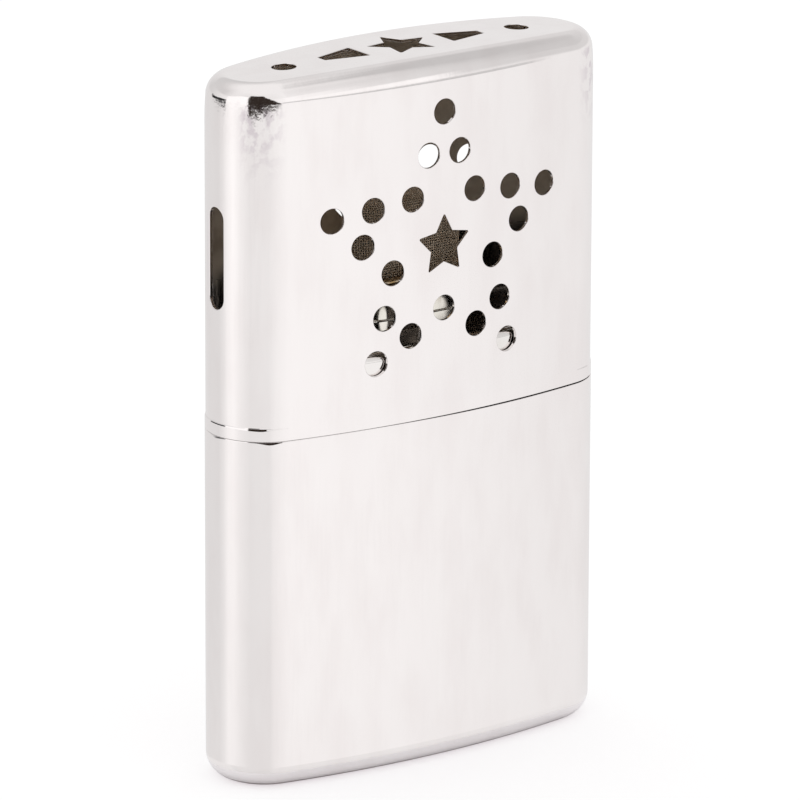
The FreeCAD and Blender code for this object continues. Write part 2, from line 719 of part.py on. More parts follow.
def make_burner_plate():
    """Perforated floor of the burner, which sits on the rim of the filler mouth."""
    body = make_body("burner_plate")
    outline = make_sketch(body, "outline", offset=PLATE_FOOT)
    draw_slot(outline, INSERT_LENGTH, INSERT_WIDTH)
    pad(body, outline, "plate", "sizes.plate_thickness")
    hole = make_sketch(body, "hole", offset=PLATE_TOP)
    columns = int((value(MAT_LENGTH) - value("sizes.plate_hole")) // value("sizes.plate_pitch"))
    rows = int((value(MAT_WIDTH) - value("sizes.plate_hole")) // value("sizes.plate_pitch"))
    row_length = f"({columns} * sizes.plate_pitch)"
    row_depth = f"({rows} * sizes.plate_pitch)"
    draw_circle(hole, f"-{row_length} / 2", f"-{row_depth} / 2", "sizes.plate_hole")
    cut = pocket(body, hole, "hole_cut", "sizes.plate_thickness")
    directions = (("H_Axis", row_length, columns + 1), ("V_Axis", row_depth, rows + 1))
    grid_cut(body, cut, "holes", directions)
    return body


def make_cage_ring():
    """Oval ring that clamps the flange of the gauze cage under the shoulder of the skirt."""
    body = make_body("cage_ring")
    outline = make_sketch(body, "outline", offset=PLATE_TOP)
    draw_slot(outline, INSERT_LENGTH, INSERT_WIDTH)
    draw_slot(
        outline,
        f"({INSERT_LENGTH} - 2 * sizes.ring_width)",
        f"({INSERT_WIDTH} - 2 * sizes.ring_width)",
    )
    pad(body, outline, "ring", "sizes.ring_height")
    return body


def make_gauze_cage():
    """Gauze box over the catalyst: flange, rounded walls and rows of open windows."""
    body = make_body("gauze_cage")
    wall_outline = make_sketch(body, "wall_outline", offset=RING_TOP)
    draw_slot(wall_outline, CAGE_LENGTH, CAGE_WIDTH)
    wall = pad(body, wall_outline, "wall", "sizes.cage_height")
    top_edges = edges_at(wall, CAGE_TOP, f"{CAGE_LENGTH} / 2", f"{CAGE_WIDTH} / 2")
    rounded = fillet(body, wall, "crown", top_edges, "sizes.cage_rounding")
    hollow(body, rounded, "shell", RING_TOP, "sizes.cage_wall")
    flange_outline = make_sketch(body, "flange_outline", offset=RING_TOP)
    draw_slot(
        flange_outline,
        f"({CAGE_LENGTH} + 2 * sizes.cage_flange)",
        f"({CAGE_WIDTH} + 2 * sizes.cage_flange)",
    )
    inner = "- 2 * sizes.cage_wall"
    draw_slot(flange_outline, f"({CAGE_LENGTH} {inner})", f"({CAGE_WIDTH} {inner})")
    pad(body, flange_outline, "flange", "sizes.cage_wall")

    level = f"({CAGE_LENGTH} - {CAGE_WIDTH})"
    upright = f"({CAGE_TOP} - sizes.cage_rounding - {RING_TOP} - 2 * sizes.cage_wall)"
    cut_windows(body, "face", "XZ_Plane", level, upright, f"({RING_TOP} + 2 * sizes.cage_wall)")
    depth = f"({CAGE_WIDTH} - 2 * sizes.cage_rounding)"
    cut_windows(body, "top", "XY_Plane", level, depth, f"(-{depth} / 2)")
    return body


def cut_windows(body, name, plane, width, height, foot):
    """Grid of square openings centred across a wall, starting at a foot line."""
    columns = count_windows(width)
    rows = count_windows(height)
    span = f"({columns - 1} * sizes.gauze_pitch)"
    rise = f"({rows - 1} * sizes.gauze_pitch)"
    left = f"(-{span} / 2 - sizes.gauze_window / 2)"
    base = f"({foot} + ({height} - {rise} - sizes.gauze_window) / 2)"
    corners = (
        (left, base),
        (f"{left} + sizes.gauze_window", base),
        (f"{left} + sizes.gauze_window", f"{base} + sizes.gauze_window"),
        (left, f"{base} + sizes.gauze_window"),
    )
    if plane == "XY_Plane":
        window = make_sketch(body, f"{name}_window", plane, offset=CAGE_TOP)
        draw_polygon(window, corners)
        cut = pocket(body, window, f"{name}_cut", "2 * sizes.cage_wall")
    else:
        window = make_sketch(body, f"{name}_window", plane)
        draw_polygon(window, corners)
        cut = pocket_through(body, window, f"{name}_cut")
    directions = (("H_Axis", span, columns), ("V_Axis", rise, rows))
    grid_cut(body, cut, f"{name}_windows", directions)


def count_windows(length):
    """Number of windows at the gauze pitch that fit in a length."""
    return int((value(length) - value("sizes.gauze_window")) / value("sizes.gauze_pitch")) + 1


def make_catalyst_mat():
    """Glass-fibre mat that carries the catalyst, inside the gauze cage."""
    body = make_body("catalyst_mat")
    outline = make_sketch(body, "outline", offset=f"({PLATE_TOP} + sizes.mat_clearance)")
    draw_slot(outline, MAT_LENGTH, MAT_WIDTH)
    mat = pad(body, outline, "mat", f"{MAT_TOP} - {PLATE_TOP} - sizes.mat_clearance")
    top_edges = edges_at(mat, MAT_TOP, f"{MAT_LENGTH} / 2", f"{MAT_WIDTH} / 2")
    rounding = "(sizes.cage_rounding - sizes.cage_wall - sizes.mat_clearance)"
    fillet(body, mat, "crown", top_edges, rounding)
    return body


PARTS = (
    make_tank_shell,
    make_neck_sleeve,
    make_filler_mouth,
    make_cotton_fill,
    make_wick_pad,
    make_burner_skirt,
    make_burner_plate,
    make_cage_ring,
    make_gauze_cage,
    make_catalyst_mat,
    make_cap_shell,
)


def check_document():
    """Stop if any object failed to build."""
    for item in doc.Objects:
        if "Invalid" in item.State or "Error" in item.State:
            raise RuntimeError(f"{item.Name} did not build: {item.State}")


def write_parts(bodies):
    """One STEP file for each sub-part, named by its label."""
    os.makedirs("parts", exist_ok=True)
    for body in bodies:
        if body.Shape.isNull() or not body.Shape.isValid():
            raise RuntimeError(f"{body.Label} has no valid shape")
    for body in bodies:
        body.Shape.exportStep(f"parts/{body.Label}.step")
        print(body.Label, len(body.Shape.Solids), round(body.Shape.Volume, 2))


parts = [make() for make in PARTS]
doc.recompute()
check_document()
write_parts(parts)
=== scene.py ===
"""Looks of a pocket catalytic hand warmer: drawn nickel-plated case, perforated cap, gauze burner."""
import math
from collections import namedtuple

import bpy
import numpy as np
from mathutils import Matrix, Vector
from mathutils.geometry import delaunay_2d_cdt


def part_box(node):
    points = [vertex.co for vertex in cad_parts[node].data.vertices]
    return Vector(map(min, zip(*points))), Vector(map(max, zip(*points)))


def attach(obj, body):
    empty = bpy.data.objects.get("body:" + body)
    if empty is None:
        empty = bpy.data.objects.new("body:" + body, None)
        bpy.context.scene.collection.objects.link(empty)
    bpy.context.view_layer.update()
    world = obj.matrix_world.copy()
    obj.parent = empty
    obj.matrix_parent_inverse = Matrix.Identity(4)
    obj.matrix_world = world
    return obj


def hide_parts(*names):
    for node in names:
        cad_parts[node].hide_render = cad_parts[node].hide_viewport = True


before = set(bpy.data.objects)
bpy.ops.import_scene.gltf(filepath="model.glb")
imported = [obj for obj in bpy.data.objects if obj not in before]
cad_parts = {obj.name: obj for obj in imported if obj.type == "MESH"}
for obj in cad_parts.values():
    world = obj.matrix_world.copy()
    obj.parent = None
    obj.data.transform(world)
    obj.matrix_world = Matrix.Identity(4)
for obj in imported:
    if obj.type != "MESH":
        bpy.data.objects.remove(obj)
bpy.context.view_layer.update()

# Lengths are in millimetres and angles in degrees until a mesh or a pattern is made.
MM = 0.001
WELD_DECIMALS = 4
FILL_TOLERANCE = 1e-7


def corners(node):
    """Lowest and highest corner of a CAD node, in millimetres."""
    low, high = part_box(node)
    return np.array(low) / MM, np.array(high) / MM


# ------------------------------------------------------------------ sizes of the sheet-metal parts

tank_low, tank_high = corners("tank_shell")
cap_low, cap_high = corners("cap_shell")
neck_low, neck_high = corners("neck_sleeve")
mouth_low, mouth_high = corners("filler_mouth")
skirt_low, skirt_high = corners("burner_skirt")
cage_low, cage_high = corners("gauze_cage")
mat_low, mat_high = corners("catalyst_mat")
pad_low, pad_high = corners("wick_pad")
fill_low, fill_high = corners("cotton_fill")

CASE_WIDTH = tank_high[0] - tank_low[0]
CASE_DEPTH = tank_high[1] - tank_low[1]
FACE_RADIUS = 130.0
SHEET = 0.5

TANK_TOP = tank_high[2]
BASE_RADIUS = 3.4
RIM_ROUNDING = 0.07
RIM_LEAN = 0.36
RIM_TILT = 7.0
RIM_REACH = 0.9
# How much of its lean the rim has on the faces, and where it springs more: at which fold,
# how far to each side of that, and how much.
RIM_SPRING = 0.12
RIM_SPRINGS = ((29.0, 9.0, 1.0), (94.0, 12.0, 0.9))
BORE_BREAK = 0.1
# The cap sits closer on the tank than the clearance between the two solids.
SEAT_CLOSER = 0.07
# The tank's edge is drawn a little lower towards the right, where the seam stands open.
RIM_DROOP = 0.15
DROOP_SPAN = (-14.0, 14.0)

CAP_FOOT = cap_low[2] - SEAT_CLOSER
CAP_TOP = cap_high[2]
RIM_STEP = 0.12
RIM_BAND = 1.9
BEVEL_FOLDS = (26.0, 37.0, 50.0, 64.0)
BEVEL_HEIGHTS = (0.12, 0.35, 0.28, 0.19)
BEVEL_SHARES = (1.0, 1.0, 0.67, 0.3)
BEVEL_LIP = 0.1
LEAN_FOLDS = (9.0, 27.0)
# Shares of a strip between which its shading has the strip's own slope.
LEAN_EASE = (0.15, 0.85)
BEVEL_EASE = (1 / 6, 5 / 6)
CAP_EDGE = 0.07
CREASE = CAP_TOP - 3.2
CREASE_LEAN = 0.16
CREASE_RUN = 4.0
CROWN_TILT = 14.0
CREASE_ROLL = 0.15
CREASE_ROLL_TILT = 8.0
CROWN_ROUNDING = 2.8
TOP_RADIUS = 480.0
CAP_MIDDLE = (cap_low[2] + CREASE) / 2

STAR_HEIGHT = CAP_MIDDLE + 0.575
STAR_RADIUS = 18.75
STAR_WAIST = 8.85
HOLE_RADIUS = 3.55 / 2
FACE_STAR_RADIUS = 4.45
FACE_STAR_WAIST = 2.3
SLOT_HEIGHT = CAP_MIDDLE + 1.3
SLOT_LENGTH = 14.3
SLOT_WIDTH = 3.3
TOP_STAR_RADIUS = 5.05
TOP_STAR_WAIST = 2.5
VENT_START = 7.0
VENT_END = 13.35
VENT_START_WIDTH = 5.3
VENT_END_WIDTH = 1.9
TOP_HOLE_OFFSET = 19.55
TOP_HOLE_RADIUS = 1.7
PUNCH_ROLL = 0.1
PUNCH_CORNER = 0.16

NECK_INSET = 0.82
TAIL_INSET = 0.54
NECK_ROUNDING = 1.3
GRIP_HEIGHT = TANK_TOP + 3.1
GRIP_HALF_LENGTH = 3.4
GRIP_HALF_WIDTH = 0.6
GRIP_REACH = 0.1
GRIP_FADE = 0.25

MOUTH_WALL = 0.45
MOUTH_FLANGE = 1.4
MOUTH_ROUNDING = 0.2
SOLDER_GAP = 0.04

SKIRT_WALL = 0.4
BEAD_HEIGHT = 2.0
BEAD_STEP = 0.3
SKIRT_ROUNDING = 0.7
SKIRT_EDGE = 0.1

CAGE_FLANGE = 0.75
CAGE_SHEET = 0.35
CAGE_ROUNDING = 2.2
MAT_ROUNDING = 1.55
PAD_ROUNDING = 0.7
WADDING_GAP = 0.8
WADDING_NECK_GAP = 0.3
WADDING_SHOULDER = 1.0
WADDING_ROUNDING = 2.0

STAR_POINTS = 5
FULL_TURN = 360.0
STAR_PITCH = FULL_TURN / STAR_POINTS

# ------------------------------------------------------------------ loops that surfaces are carried along

Loop = namedtuple("Loop", "centre radius angle")
Patch = namedtuple("Patch", "points normals faces finish")


def direction(angle):
    """Level unit vectors at angles from +X."""
    turn = np.radians(angle)
    return np.stack([np.cos(turn), np.sin(turn)], axis=-1)


def loop_at(loop, inset):
    """Points of a loop moved in: centre plus (radius less inset) along the normal."""
    reach = np.asarray(loop.radius - inset)
    return loop.centre + reach[..., None] * direction(loop.angle)


END_RADIUS = (
    (FACE_RADIUS * CASE_DEPTH - (CASE_WIDTH ** 2 + CASE_DEPTH ** 2) / 4)
    / (2 * FACE_RADIUS - CASE_WIDTH)
)
FACE_CENTRE = FACE_RADIUS - CASE_DEPTH / 2
END_CENTRE = CASE_WIDTH / 2 - END_RADIUS
FACE_TURN = math.degrees(math.atan2(END_CENTRE, FACE_CENTRE))

# The oval is cut open at 45 degrees, where it has no opening, and runs once round from there.
CUT_ANGLE = 45.0
RIGHT, BACK, LEFT, FRONT = 0.0, 90.0, 180.0, 270.0
KNOT_ANGLES = np.array([
    CUT_ANGLE, BACK - FACE_TURN, BACK + FACE_TURN, FRONT - FACE_TURN, FRONT + FACE_TURN,
    CUT_ANGLE + FULL_TURN,
])
KNOT_RADII = np.array([END_RADIUS, FACE_RADIUS, END_RADIUS, FACE_RADIUS, END_RADIUS])
KNOT_LENGTHS = np.concatenate([[0], np.cumsum(np.radians(np.diff(KNOT_ANGLES)) * KNOT_RADII)])
KNOT_CENTRES = np.array([
    [END_CENTRE, 0], [0, -FACE_CENTRE], [-END_CENTRE, 0], [0, FACE_CENTRE], [END_CENTRE, 0],
])
CASE_LENGTH = KNOT_LENGTHS[-1]


def case_loop(length):
    """Stations of the case oval at distances along it, from the cut.

    The oval is five tangent arcs, so the normal's angle grows evenly with length on each,
    and the arc that holds the length gives the centre and the radius.
    """
    angle = np.interp(length, KNOT_LENGTHS, KNOT_ANGLES)
    arc = np.clip(np.searchsorted(KNOT_LENGTHS, length, side="right") - 1, 0, len(KNOT_RADII) - 1)
    return Loop(KNOT_CENTRES[arc], KNOT_RADII[arc], angle)


def case_lengths(face_step, end_step):
    """Distances along the oval, an even number of steps on each arc, without the last."""
    pieces = []
    for start, end, radius in zip(KNOT_LENGTHS[:-1], KNOT_LENGTHS[1:], KNOT_RADII):
        step = face_step if radius == FACE_RADIUS else end_step
        count = max(2, round((end - start) / step))
        pieces.append(np.linspace(start, end, count, endpoint=False))
    return np.concatenate(pieces)


def slot_loop(length, width, step):
    """Loop with two round ends and two straight sides, anticlockwise.

    On the ends the centre stays and the angle turns; on the sides the angle stays and the
    centre slides from one end's centre to the other's.
    """
    half = (length - width) / 2
    bends = max(8, round(math.pi * width / 2 / step))
    steps = max(2, round(2 * half / step))
    turn = np.linspace(0, 180, bends, endpoint=False)
    slide = np.linspace(half, -half, steps, endpoint=False)
    centre = np.concatenate([np.full(bends, half), slide, np.full(bends, -half), -slide])
    angle = np.concatenate([turn - 90, np.full(steps, 90.0), turn + 90, np.full(steps, 270.0)])
    return Loop(np.stack([centre, 0 * centre], axis=-1), np.full(len(angle), width / 2), angle)


def fold_angles(loop):
    """How far each station's normal has turned from its face's, from 0 to 90."""
    return np.degrees(np.arcsin(np.clip(np.abs(np.cos(np.radians(loop.angle))), 0, 1)))


# ------------------------------------------------------------------ patches

def grid_patch(points, normals, finish=0, flip=False):
    """Quads over a closed ring of points: [column, row], next column, both next, next row."""
    columns, rows = points.shape[:2]
    index = np.arange(columns * rows).reshape(columns, rows)
    index = np.concatenate([index, index[:1]])
    ring = (index[:-1, :-1], index[1:, :-1], index[1:, 1:], index[:-1, 1:])
    faces = np.stack([side.ravel() for side in ring], axis=-1)
    if flip:
        faces = faces[:, ::-1]
    return Patch(points.reshape(-1, 3), normals.reshape(-1, 3), faces, finish)


def carry(loop, inset, height, tilt, finish=0):
    """Band carried round a loop, from insets, heights and tilts at [station, row].

    Point = centre + (radius - inset) * normal at the row's height; the surface normal is
    the loop's normal leaned up by the tilt.
    """
    normal = direction(loop.angle)[:, None, :]
    reach = loop.radius[:, None] - inset
    level = loop.centre[:, None, :] + reach[..., None] * normal
    points = np.concatenate([level, np.broadcast_to(height, reach.shape)[..., None]], axis=2)
    lean = np.radians(np.broadcast_to(tilt, reach.shape))[..., None]
    return grid_patch(points, np.concatenate([np.cos(lean) * normal, np.sin(lean)], axis=2), finish)


def sweep(loop, rows, finish=0):
    """Band with the same section all round, from rows of (inset, height, tilt)."""
    inset, height, tilt = np.array(rows, dtype=float).T
    return carry(loop, inset[None, :], height, tilt, finish)


def run(start, end):
    """Straight piece of a profile from (inset, height) to (inset, height)."""
    tilt = math.degrees(math.atan2(end[0] - start[0], end[1] - start[1]))
    return [(*start, tilt), (*end, tilt)]


def bend(inset, height, radius, first, last, steps=5, hollow=False):
    """Round piece of a profile about a centre, as its tilt goes from first to last.

    Point = centre + radius * (cos tilt outward, sin tilt up), or minus that where hollow.
    """
    tilt = np.linspace(first, last, steps + 1)
    side = -radius if hollow else radius
    out, up = np.cos(np.radians(tilt)) * side, np.sin(np.radians(tilt)) * side
    return np.stack([inset - out, height + up, tilt], axis=-1).tolist()


def inside(points, loop):
    """Which points a closed loop holds, by counting the sides to the right of each."""
    x, y = points[:, 0, None], points[:, 1, None]
    x0, y0 = loop[:, 0], loop[:, 1]
    x1, y1 = np.roll(x0, -1), np.roll(y0, -1)
    straddles = (y0 > y) != (y1 > y)
    rise = np.where(y1 == y0, 1, y1 - y0)
    crossing = x0 + (y - y0) * (x1 - x0) / rise
    return (np.sum(straddles & (x < crossing), axis=1) % 2).astype(bool)


def nearest(points, loop):
    """Distance from each point to the nearest corner of a loop."""
    gap = points[:, None, :] - loop[None, :, :]
    return np.sqrt((gap ** 2).sum(axis=2)).min(axis=1)


def fill_flat(outer, holes, seeds, clear):
    """Points and anticlockwise triangles that fill a flat outline round its holes.

    Seeds are spread inside it, at least a clear distance from every edge point.
    """
    keep = inside(seeds, outer)
    for loop in [outer, *holes]:
        keep[keep] &= nearest(seeds[keep], loop) > clear
    for loop in holes:
        keep[keep] &= ~inside(seeds[keep], loop)
    loops = [outer, *holes]
    points = np.concatenate([*loops, seeds[keep]])
    edges, start = [], 0
    for loop in loops:
        index = start + np.arange(len(loop))
        edges += np.stack([index, np.roll(index, -1)], axis=-1).tolist()
        start += len(loop)
    found = delaunay_2d_cdt(points.tolist(), edges, [], 0, FILL_TOLERANCE)
    origin = np.array([sources[0] for sources in found[3]])
    faces = origin[np.array(found[2])]
    middle = points[faces].mean(axis=1)
    wanted = inside(middle, outer)
    for loop in holes:
        wanted &= ~inside(middle, loop)
    faces = faces[wanted]
    first, second, third = (points[faces[:, side]] for side in range(3))
    area = np.cross(second - first, third - first)
    faces[area < 0] = faces[area < 0][:, ::-1]
    return points, faces


def grid_points(across, along):
    """All pairs of two lists of positions."""
    return np.stack(np.meshgrid(across, along, indexing="ij"), axis=-1).reshape(-1, 2)


def flat_patch(points, faces, height, finish=0, down=False):
    """Level sheet from a flat fill."""
    solid = np.column_stack([points, np.full(len(points), height)])
    normals = np.tile([0.0, 0.0, -1.0 if down else 1.0], (len(points), 1))
    return Patch(solid, normals, faces[:, ::-1] if down else faces, finish)


# ------------------------------------------------------------------ meshes

def make_piece(name, patches, body, materials, nodes):
    """One object from patches: points that coincide are welded, corners keep their normals."""
    sizes = [len(patch.points) for patch in patches]
    offsets = np.concatenate([[0], np.cumsum(sizes)[:-1]])
    points = np.concatenate([patch.points for patch in patches])
    normals = np.concatenate([patch.normals for patch in patches])
    rounded = np.round(points, WELD_DECIMALS) + 0.0
    _, first, welded = np.unique(rounded, axis=0, return_index=True, return_inverse=True)
    welded = welded.ravel()
    corner_lists, totals, finishes = [], [], []
    for patch, offset in zip(patches, offsets):
        faces = patch.faces + offset
        corner_lists.append(faces.ravel())
        totals.append(np.full(len(faces), faces.shape[1]))
        finishes.append(np.full(len(faces), patch.finish))
    corner = np.concatenate(corner_lists)
    total = np.concatenate(totals)
    mesh = bpy.data.meshes.new(name)
    mesh.vertices.add(len(first))
    mesh.vertices.foreach_set("co", (points[first] * MM).ravel())
    mesh.loops.add(len(corner))
    mesh.loops.foreach_set("vertex_index", welded[corner].astype(np.int32))
    mesh.polygons.add(len(total))
    starts = np.concatenate([[0], np.cumsum(total)[:-1]])
    mesh.polygons.foreach_set("loop_start", starts.astype(np.int32))
    mesh.polygons.foreach_set("material_index", np.concatenate(finishes).astype(np.int32))
    mesh.update(calc_edges=True)
    mesh.shade_smooth()
    lengths = np.linalg.norm(normals, axis=1, keepdims=True)
    mesh.normals_split_custom_set((normals / lengths)[corner].tolist())
    for material in materials:
        mesh.materials.append(material)
    piece = bpy.data.objects.new(name, mesh)
    bpy.context.scene.collection.objects.link(piece)
    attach(piece, body)
    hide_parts(*nodes)
    return piece


# ------------------------------------------------------------------ punched openings

def circle_outline(centre, radius, steps=36):
    """Round hole: points on it and the directions away from its middle."""
    away = direction(np.arange(steps) * FULL_TURN / steps)
    return np.array(centre) + radius * away, away


def rounded_outline(corner_points, radius, steps=5):
    """Polygon with each corner rounded, as points and directions away from the hole.

    At a corner the arc's centre lies on the bisector, radius / sin(half angle) from it,
    inside the hole at a tip and outside it at a waist, where the directions turn back.
    """
    corner_points = np.array(corner_points, dtype=float)
    before = np.roll(corner_points, 1, axis=0) - corner_points
    after = np.roll(corner_points, -1, axis=0) - corner_points
    before /= np.linalg.norm(before, axis=1, keepdims=True)
    after /= np.linalg.norm(after, axis=1, keepdims=True)
    tip = np.cross(after, before) > 0
    half = np.arccos(np.clip((before * after).sum(axis=1), -1, 1)) / 2
    bisector = before + after
    bisector /= np.linalg.norm(bisector, axis=1, keepdims=True)
    middle = corner_points + bisector * (radius / np.sin(half))[:, None]
    spread = (np.pi / 2 - half)[:, None] * np.linspace(-1, 1, steps)
    spread = np.where(tip[:, None], spread, -spread)
    base = np.arctan2(-bisector[:, 1], -bisector[:, 0])[:, None]
    outward = np.stack([np.cos(base + spread), np.sin(base + spread)], axis=-1)
    points = middle[:, None, :] + radius * outward
    away = np.where(tip[:, None, None], outward, -outward)
    return points.reshape(-1, 2), away.reshape(-1, 2)


def star_corners(radius, waist, centre=(0, 0)):
    """Tips and waists of a five-pointed star with one tip up, anticlockwise."""
    turn = 90 + np.arange(2 * STAR_POINTS) * STAR_PITCH / 2
    reach = np.where(np.arange(2 * STAR_POINTS) % 2 == 0, radius, waist)
    return np.array(centre) + reach[:, None] * direction(turn)


def slot_outline(centre, length, width, steps=20):
    """Upright slot with round ends: points and directions away from it."""
    turn = np.linspace(0, 180, steps)
    away = np.concatenate([direction(turn), direction(turn + 180)])
    shift = np.repeat([1, -1], steps)[:, None] * np.array([0, (length - width) / 2])
    return np.array(centre) + shift + away * width / 2, away


def lip_rows(roll, sheet, steps=4):
    """Edge of a punched hole as rows of (distance from the hole, depth, turn of the normal).

    The outer edge is rolled in a little, the wall is straight, and the inner edge is
    broken the same way; the turn is 0 facing out, 90 into the hole and 180 inward.
    """
    outer = np.linspace(0, 90, steps + 1)
    inner = np.linspace(90, 180, steps + 1)
    outer_rows = (roll * (1 - np.sin(np.radians(outer))), roll * (1 - np.cos(np.radians(outer))), outer)
    inner_depth = sheet - roll * (1 + np.cos(np.radians(inner)))
    inner_rows = (roll * (1 - np.sin(np.radians(inner))), inner_depth, inner)
    return np.concatenate([np.stack(outer_rows, axis=-1), np.stack(inner_rows, axis=-1)])


def lip_patch(outline, surface):
    """Rolled edge and wall of one opening, from a function that places it on its sheet.

    surface(flat points, depth) gives solid points, the sheet's normals and its two
    directions; each row's normal turns from the sheet's to the way into the hole.
    """
    points, away = outline
    rows = lip_rows(PUNCH_ROLL, SHEET)
    grid, lean = [], []
    for distance, depth, turn in rows:
        solid, normal, across, along = surface(points + distance * away, depth)
        into = -(away[:, :1] * across + away[:, 1:] * along)
        angle = math.radians(turn)
        grid.append(solid)
        lean.append(math.cos(angle) * normal + math.sin(angle) * into)
    return grid_patch(np.stack(grid, axis=1), np.stack(lean, axis=1))


# ------------------------------------------------------------------ cap

# Spacing of the cap's points, and how far those of a fill stay from its edges.
FACE_STEP = 1.0
END_STEP = 0.45
WALL_ROWS = 42
LEAN_ROWS = 9
HOLE_CLEAR = 0.22
TOP_CLEAR = 0.3

CASE_STATIONS = case_lengths(FACE_STEP, END_STEP)
case = case_loop(CASE_STATIONS)
CAP_WALL_FOOT = CAP_FOOT + RIM_BAND
LEAN_START = CREASE - CREASE_RUN


def wall_inset(height):
    """Inset of the cap's wall: even, then a lean that grows with the square of the height."""
    climb = np.clip((height - LEAN_START) / CREASE_RUN, 0, 1)
    return RIM_STEP + CREASE_LEAN * climb ** 2


def wall_slope(height):
    """How far the wall leans in for each millimetre of height."""
    climb = np.clip((height - LEAN_START) / CREASE_RUN, 0, 1)
    return 2 * CREASE_LEAN * climb / CREASE_RUN


def wall_surface(points, depth):
    """Places (length along the oval, height) on the cap's wall, at a depth in its sheet."""
    loop = case_loop(points[:, 0])
    height = points[:, 1]
    level = loop_at(loop, wall_inset(height) + depth)
    out = np.column_stack([direction(loop.angle), np.zeros(len(height))])
    normal = out + np.array([0, 0, 1]) * wall_slope(height)[:, None]
    normal /= np.linalg.norm(normal, axis=1, keepdims=True)
    across = np.column_stack([direction(loop.angle + 90), np.zeros(len(height))])
    along = np.tile([0.0, 0.0, 1.0], (len(height), 1))
    return np.column_stack([level, height]), normal, across, along


def on_wall(outline, side, radius):
    """Moves an outline drawn flat on to the wall's unrolled sheet.

    An opening is punched straight in, so its distance across stays the chord's and the
    length along the wall is the arc with that chord.
    """
    points, away = outline
    middle = np.interp(side if side > CUT_ANGLE else side + FULL_TURN, KNOT_ANGLES, KNOT_LENGTHS)
    reach = radius - wall_inset(points[:, 1])
    length = middle + radius * np.arcsin(points[:, 0] / reach)
    return np.column_stack([length, points[:, 1]]), away


def face_openings():
    """Star of twenty round holes and the star-shaped hole at its heart."""
    turn = 90 + np.arange(STAR_POINTS) * STAR_PITCH
    tips = STAR_RADIUS * direction(turn)
    waists = STAR_WAIST * direction(turn + STAR_PITCH / 2)
    middles = np.concatenate([(tips + waists) / 2, (np.roll(tips, -1, axis=0) + waists) / 2])
    centres = np.concatenate([tips, waists, middles]) + [0, STAR_HEIGHT]
    outlines = [circle_outline(centre, HOLE_RADIUS) for centre in centres]
    heart = star_corners(FACE_STAR_RADIUS, FACE_STAR_WAIST, (0, STAR_HEIGHT))
    return outlines + [rounded_outline(heart, PUNCH_CORNER)]


def wall_openings():
    """Every opening of the cap's wall, on its unrolled sheet."""
    found = []
    for side in (FRONT, BACK):
        found += [on_wall(outline, side, FACE_RADIUS) for outline in face_openings()]
    for side in (LEFT, RIGHT):
        slot = slot_outline((0, SLOT_HEIGHT), SLOT_LENGTH, SLOT_WIDTH)
        found.append(on_wall(slot, side, END_RADIUS))
    return found


def cap_wall_patches():
    """Outer and inner wall of the cap between its band and the crease, with its openings."""
    openings = wall_openings()
    levels = np.linspace(CAP_WALL_FOOT, LEAN_START, WALL_ROWS)
    lean_levels = np.linspace(LEAN_START, CREASE, LEAN_ROWS)[1:]
    heights = np.concatenate([levels, lean_levels])
    foot = np.column_stack([CASE_STATIONS, np.full(len(CASE_STATIONS), heights[0])])
    head = np.column_stack([CASE_STATIONS, np.full(len(CASE_STATIONS), heights[-1])])
    far = np.column_stack([np.full(len(heights), CASE_LENGTH), heights])
    near = np.column_stack([np.zeros(len(heights) - 2), heights[1:-1]])
    outer = np.concatenate([foot, far, head[::-1], near[::-1]])
    seeds = grid_points(CASE_STATIONS[1:], heights[1:-1])
    holes = [points + PUNCH_ROLL * away for points, away in openings]
    points, faces = fill_flat(outer, holes, seeds, HOLE_CLEAR)
    outside, out_normal, *_ = wall_surface(points, 0)
    inside_wall, in_normal, *_ = wall_surface(points, SHEET)
    patches = [
        Patch(outside, out_normal, faces, 0),
        Patch(inside_wall, -in_normal, faces[:, ::-1], 1),
    ]
    return patches + [lip_patch(outline, wall_surface) for outline in openings]


def arch_height(across):
    """Height of the cap's slightly arched top: a circle of the top radius, crest at X = 0."""
    return CAP_TOP - TOP_RADIUS + np.sqrt(TOP_RADIUS ** 2 - across ** 2)


def arch_normal(across):
    """Upward normal of the arched top."""
    normal = np.stack([across, 0 * across, np.sqrt(TOP_RADIUS ** 2 - across ** 2)], axis=-1)
    return normal / TOP_RADIUS


def top_surface(points, depth):
    """Places (X, Y) on the cap's top, at a depth in its sheet."""
    normal = arch_normal(points[:, 0])
    solid = np.column_stack([points, arch_height(points[:, 0])]) - depth * normal
    across = np.cross([0.0, 1.0, 0.0], normal)
    along = np.tile([0.0, 1.0, 0.0], (len(points), 1))
    return solid, normal, across, along


def crown_centres():
    """Outward distance and height of the shoulder's arc centre, and the arc's last tilt.

    The arc touches the line that leans in from the crease and the arched top, so its
    centre lies one radius inside both: two equations n . c = n . p - radius.
    """
    crease_reach = case.radius - RIM_STEP - CREASE_LEAN
    side = np.radians(CROWN_TILT)
    near = loop_at(case, RIM_STEP + CREASE_LEAN + CROWN_ROUNDING)[:, 0]
    slope = near / TOP_RADIUS * direction(case.angle)[:, 0]
    last = np.arctan2(1, slope)
    near_reach = crease_reach - CROWN_ROUNDING
    side_part = np.cos(side) * crease_reach + np.sin(side) * CREASE - CROWN_ROUNDING
    top_part = np.cos(last) * near_reach + np.sin(last) * arch_height(near) - CROWN_ROUNDING
    scale = np.cos(side) * np.sin(last) - np.sin(side) * np.cos(last)
    out = (side_part * np.sin(last) - np.sin(side) * top_part) / scale
    up = (np.cos(side) * top_part - np.cos(last) * side_part) / scale
    return out, up, np.degrees(last)


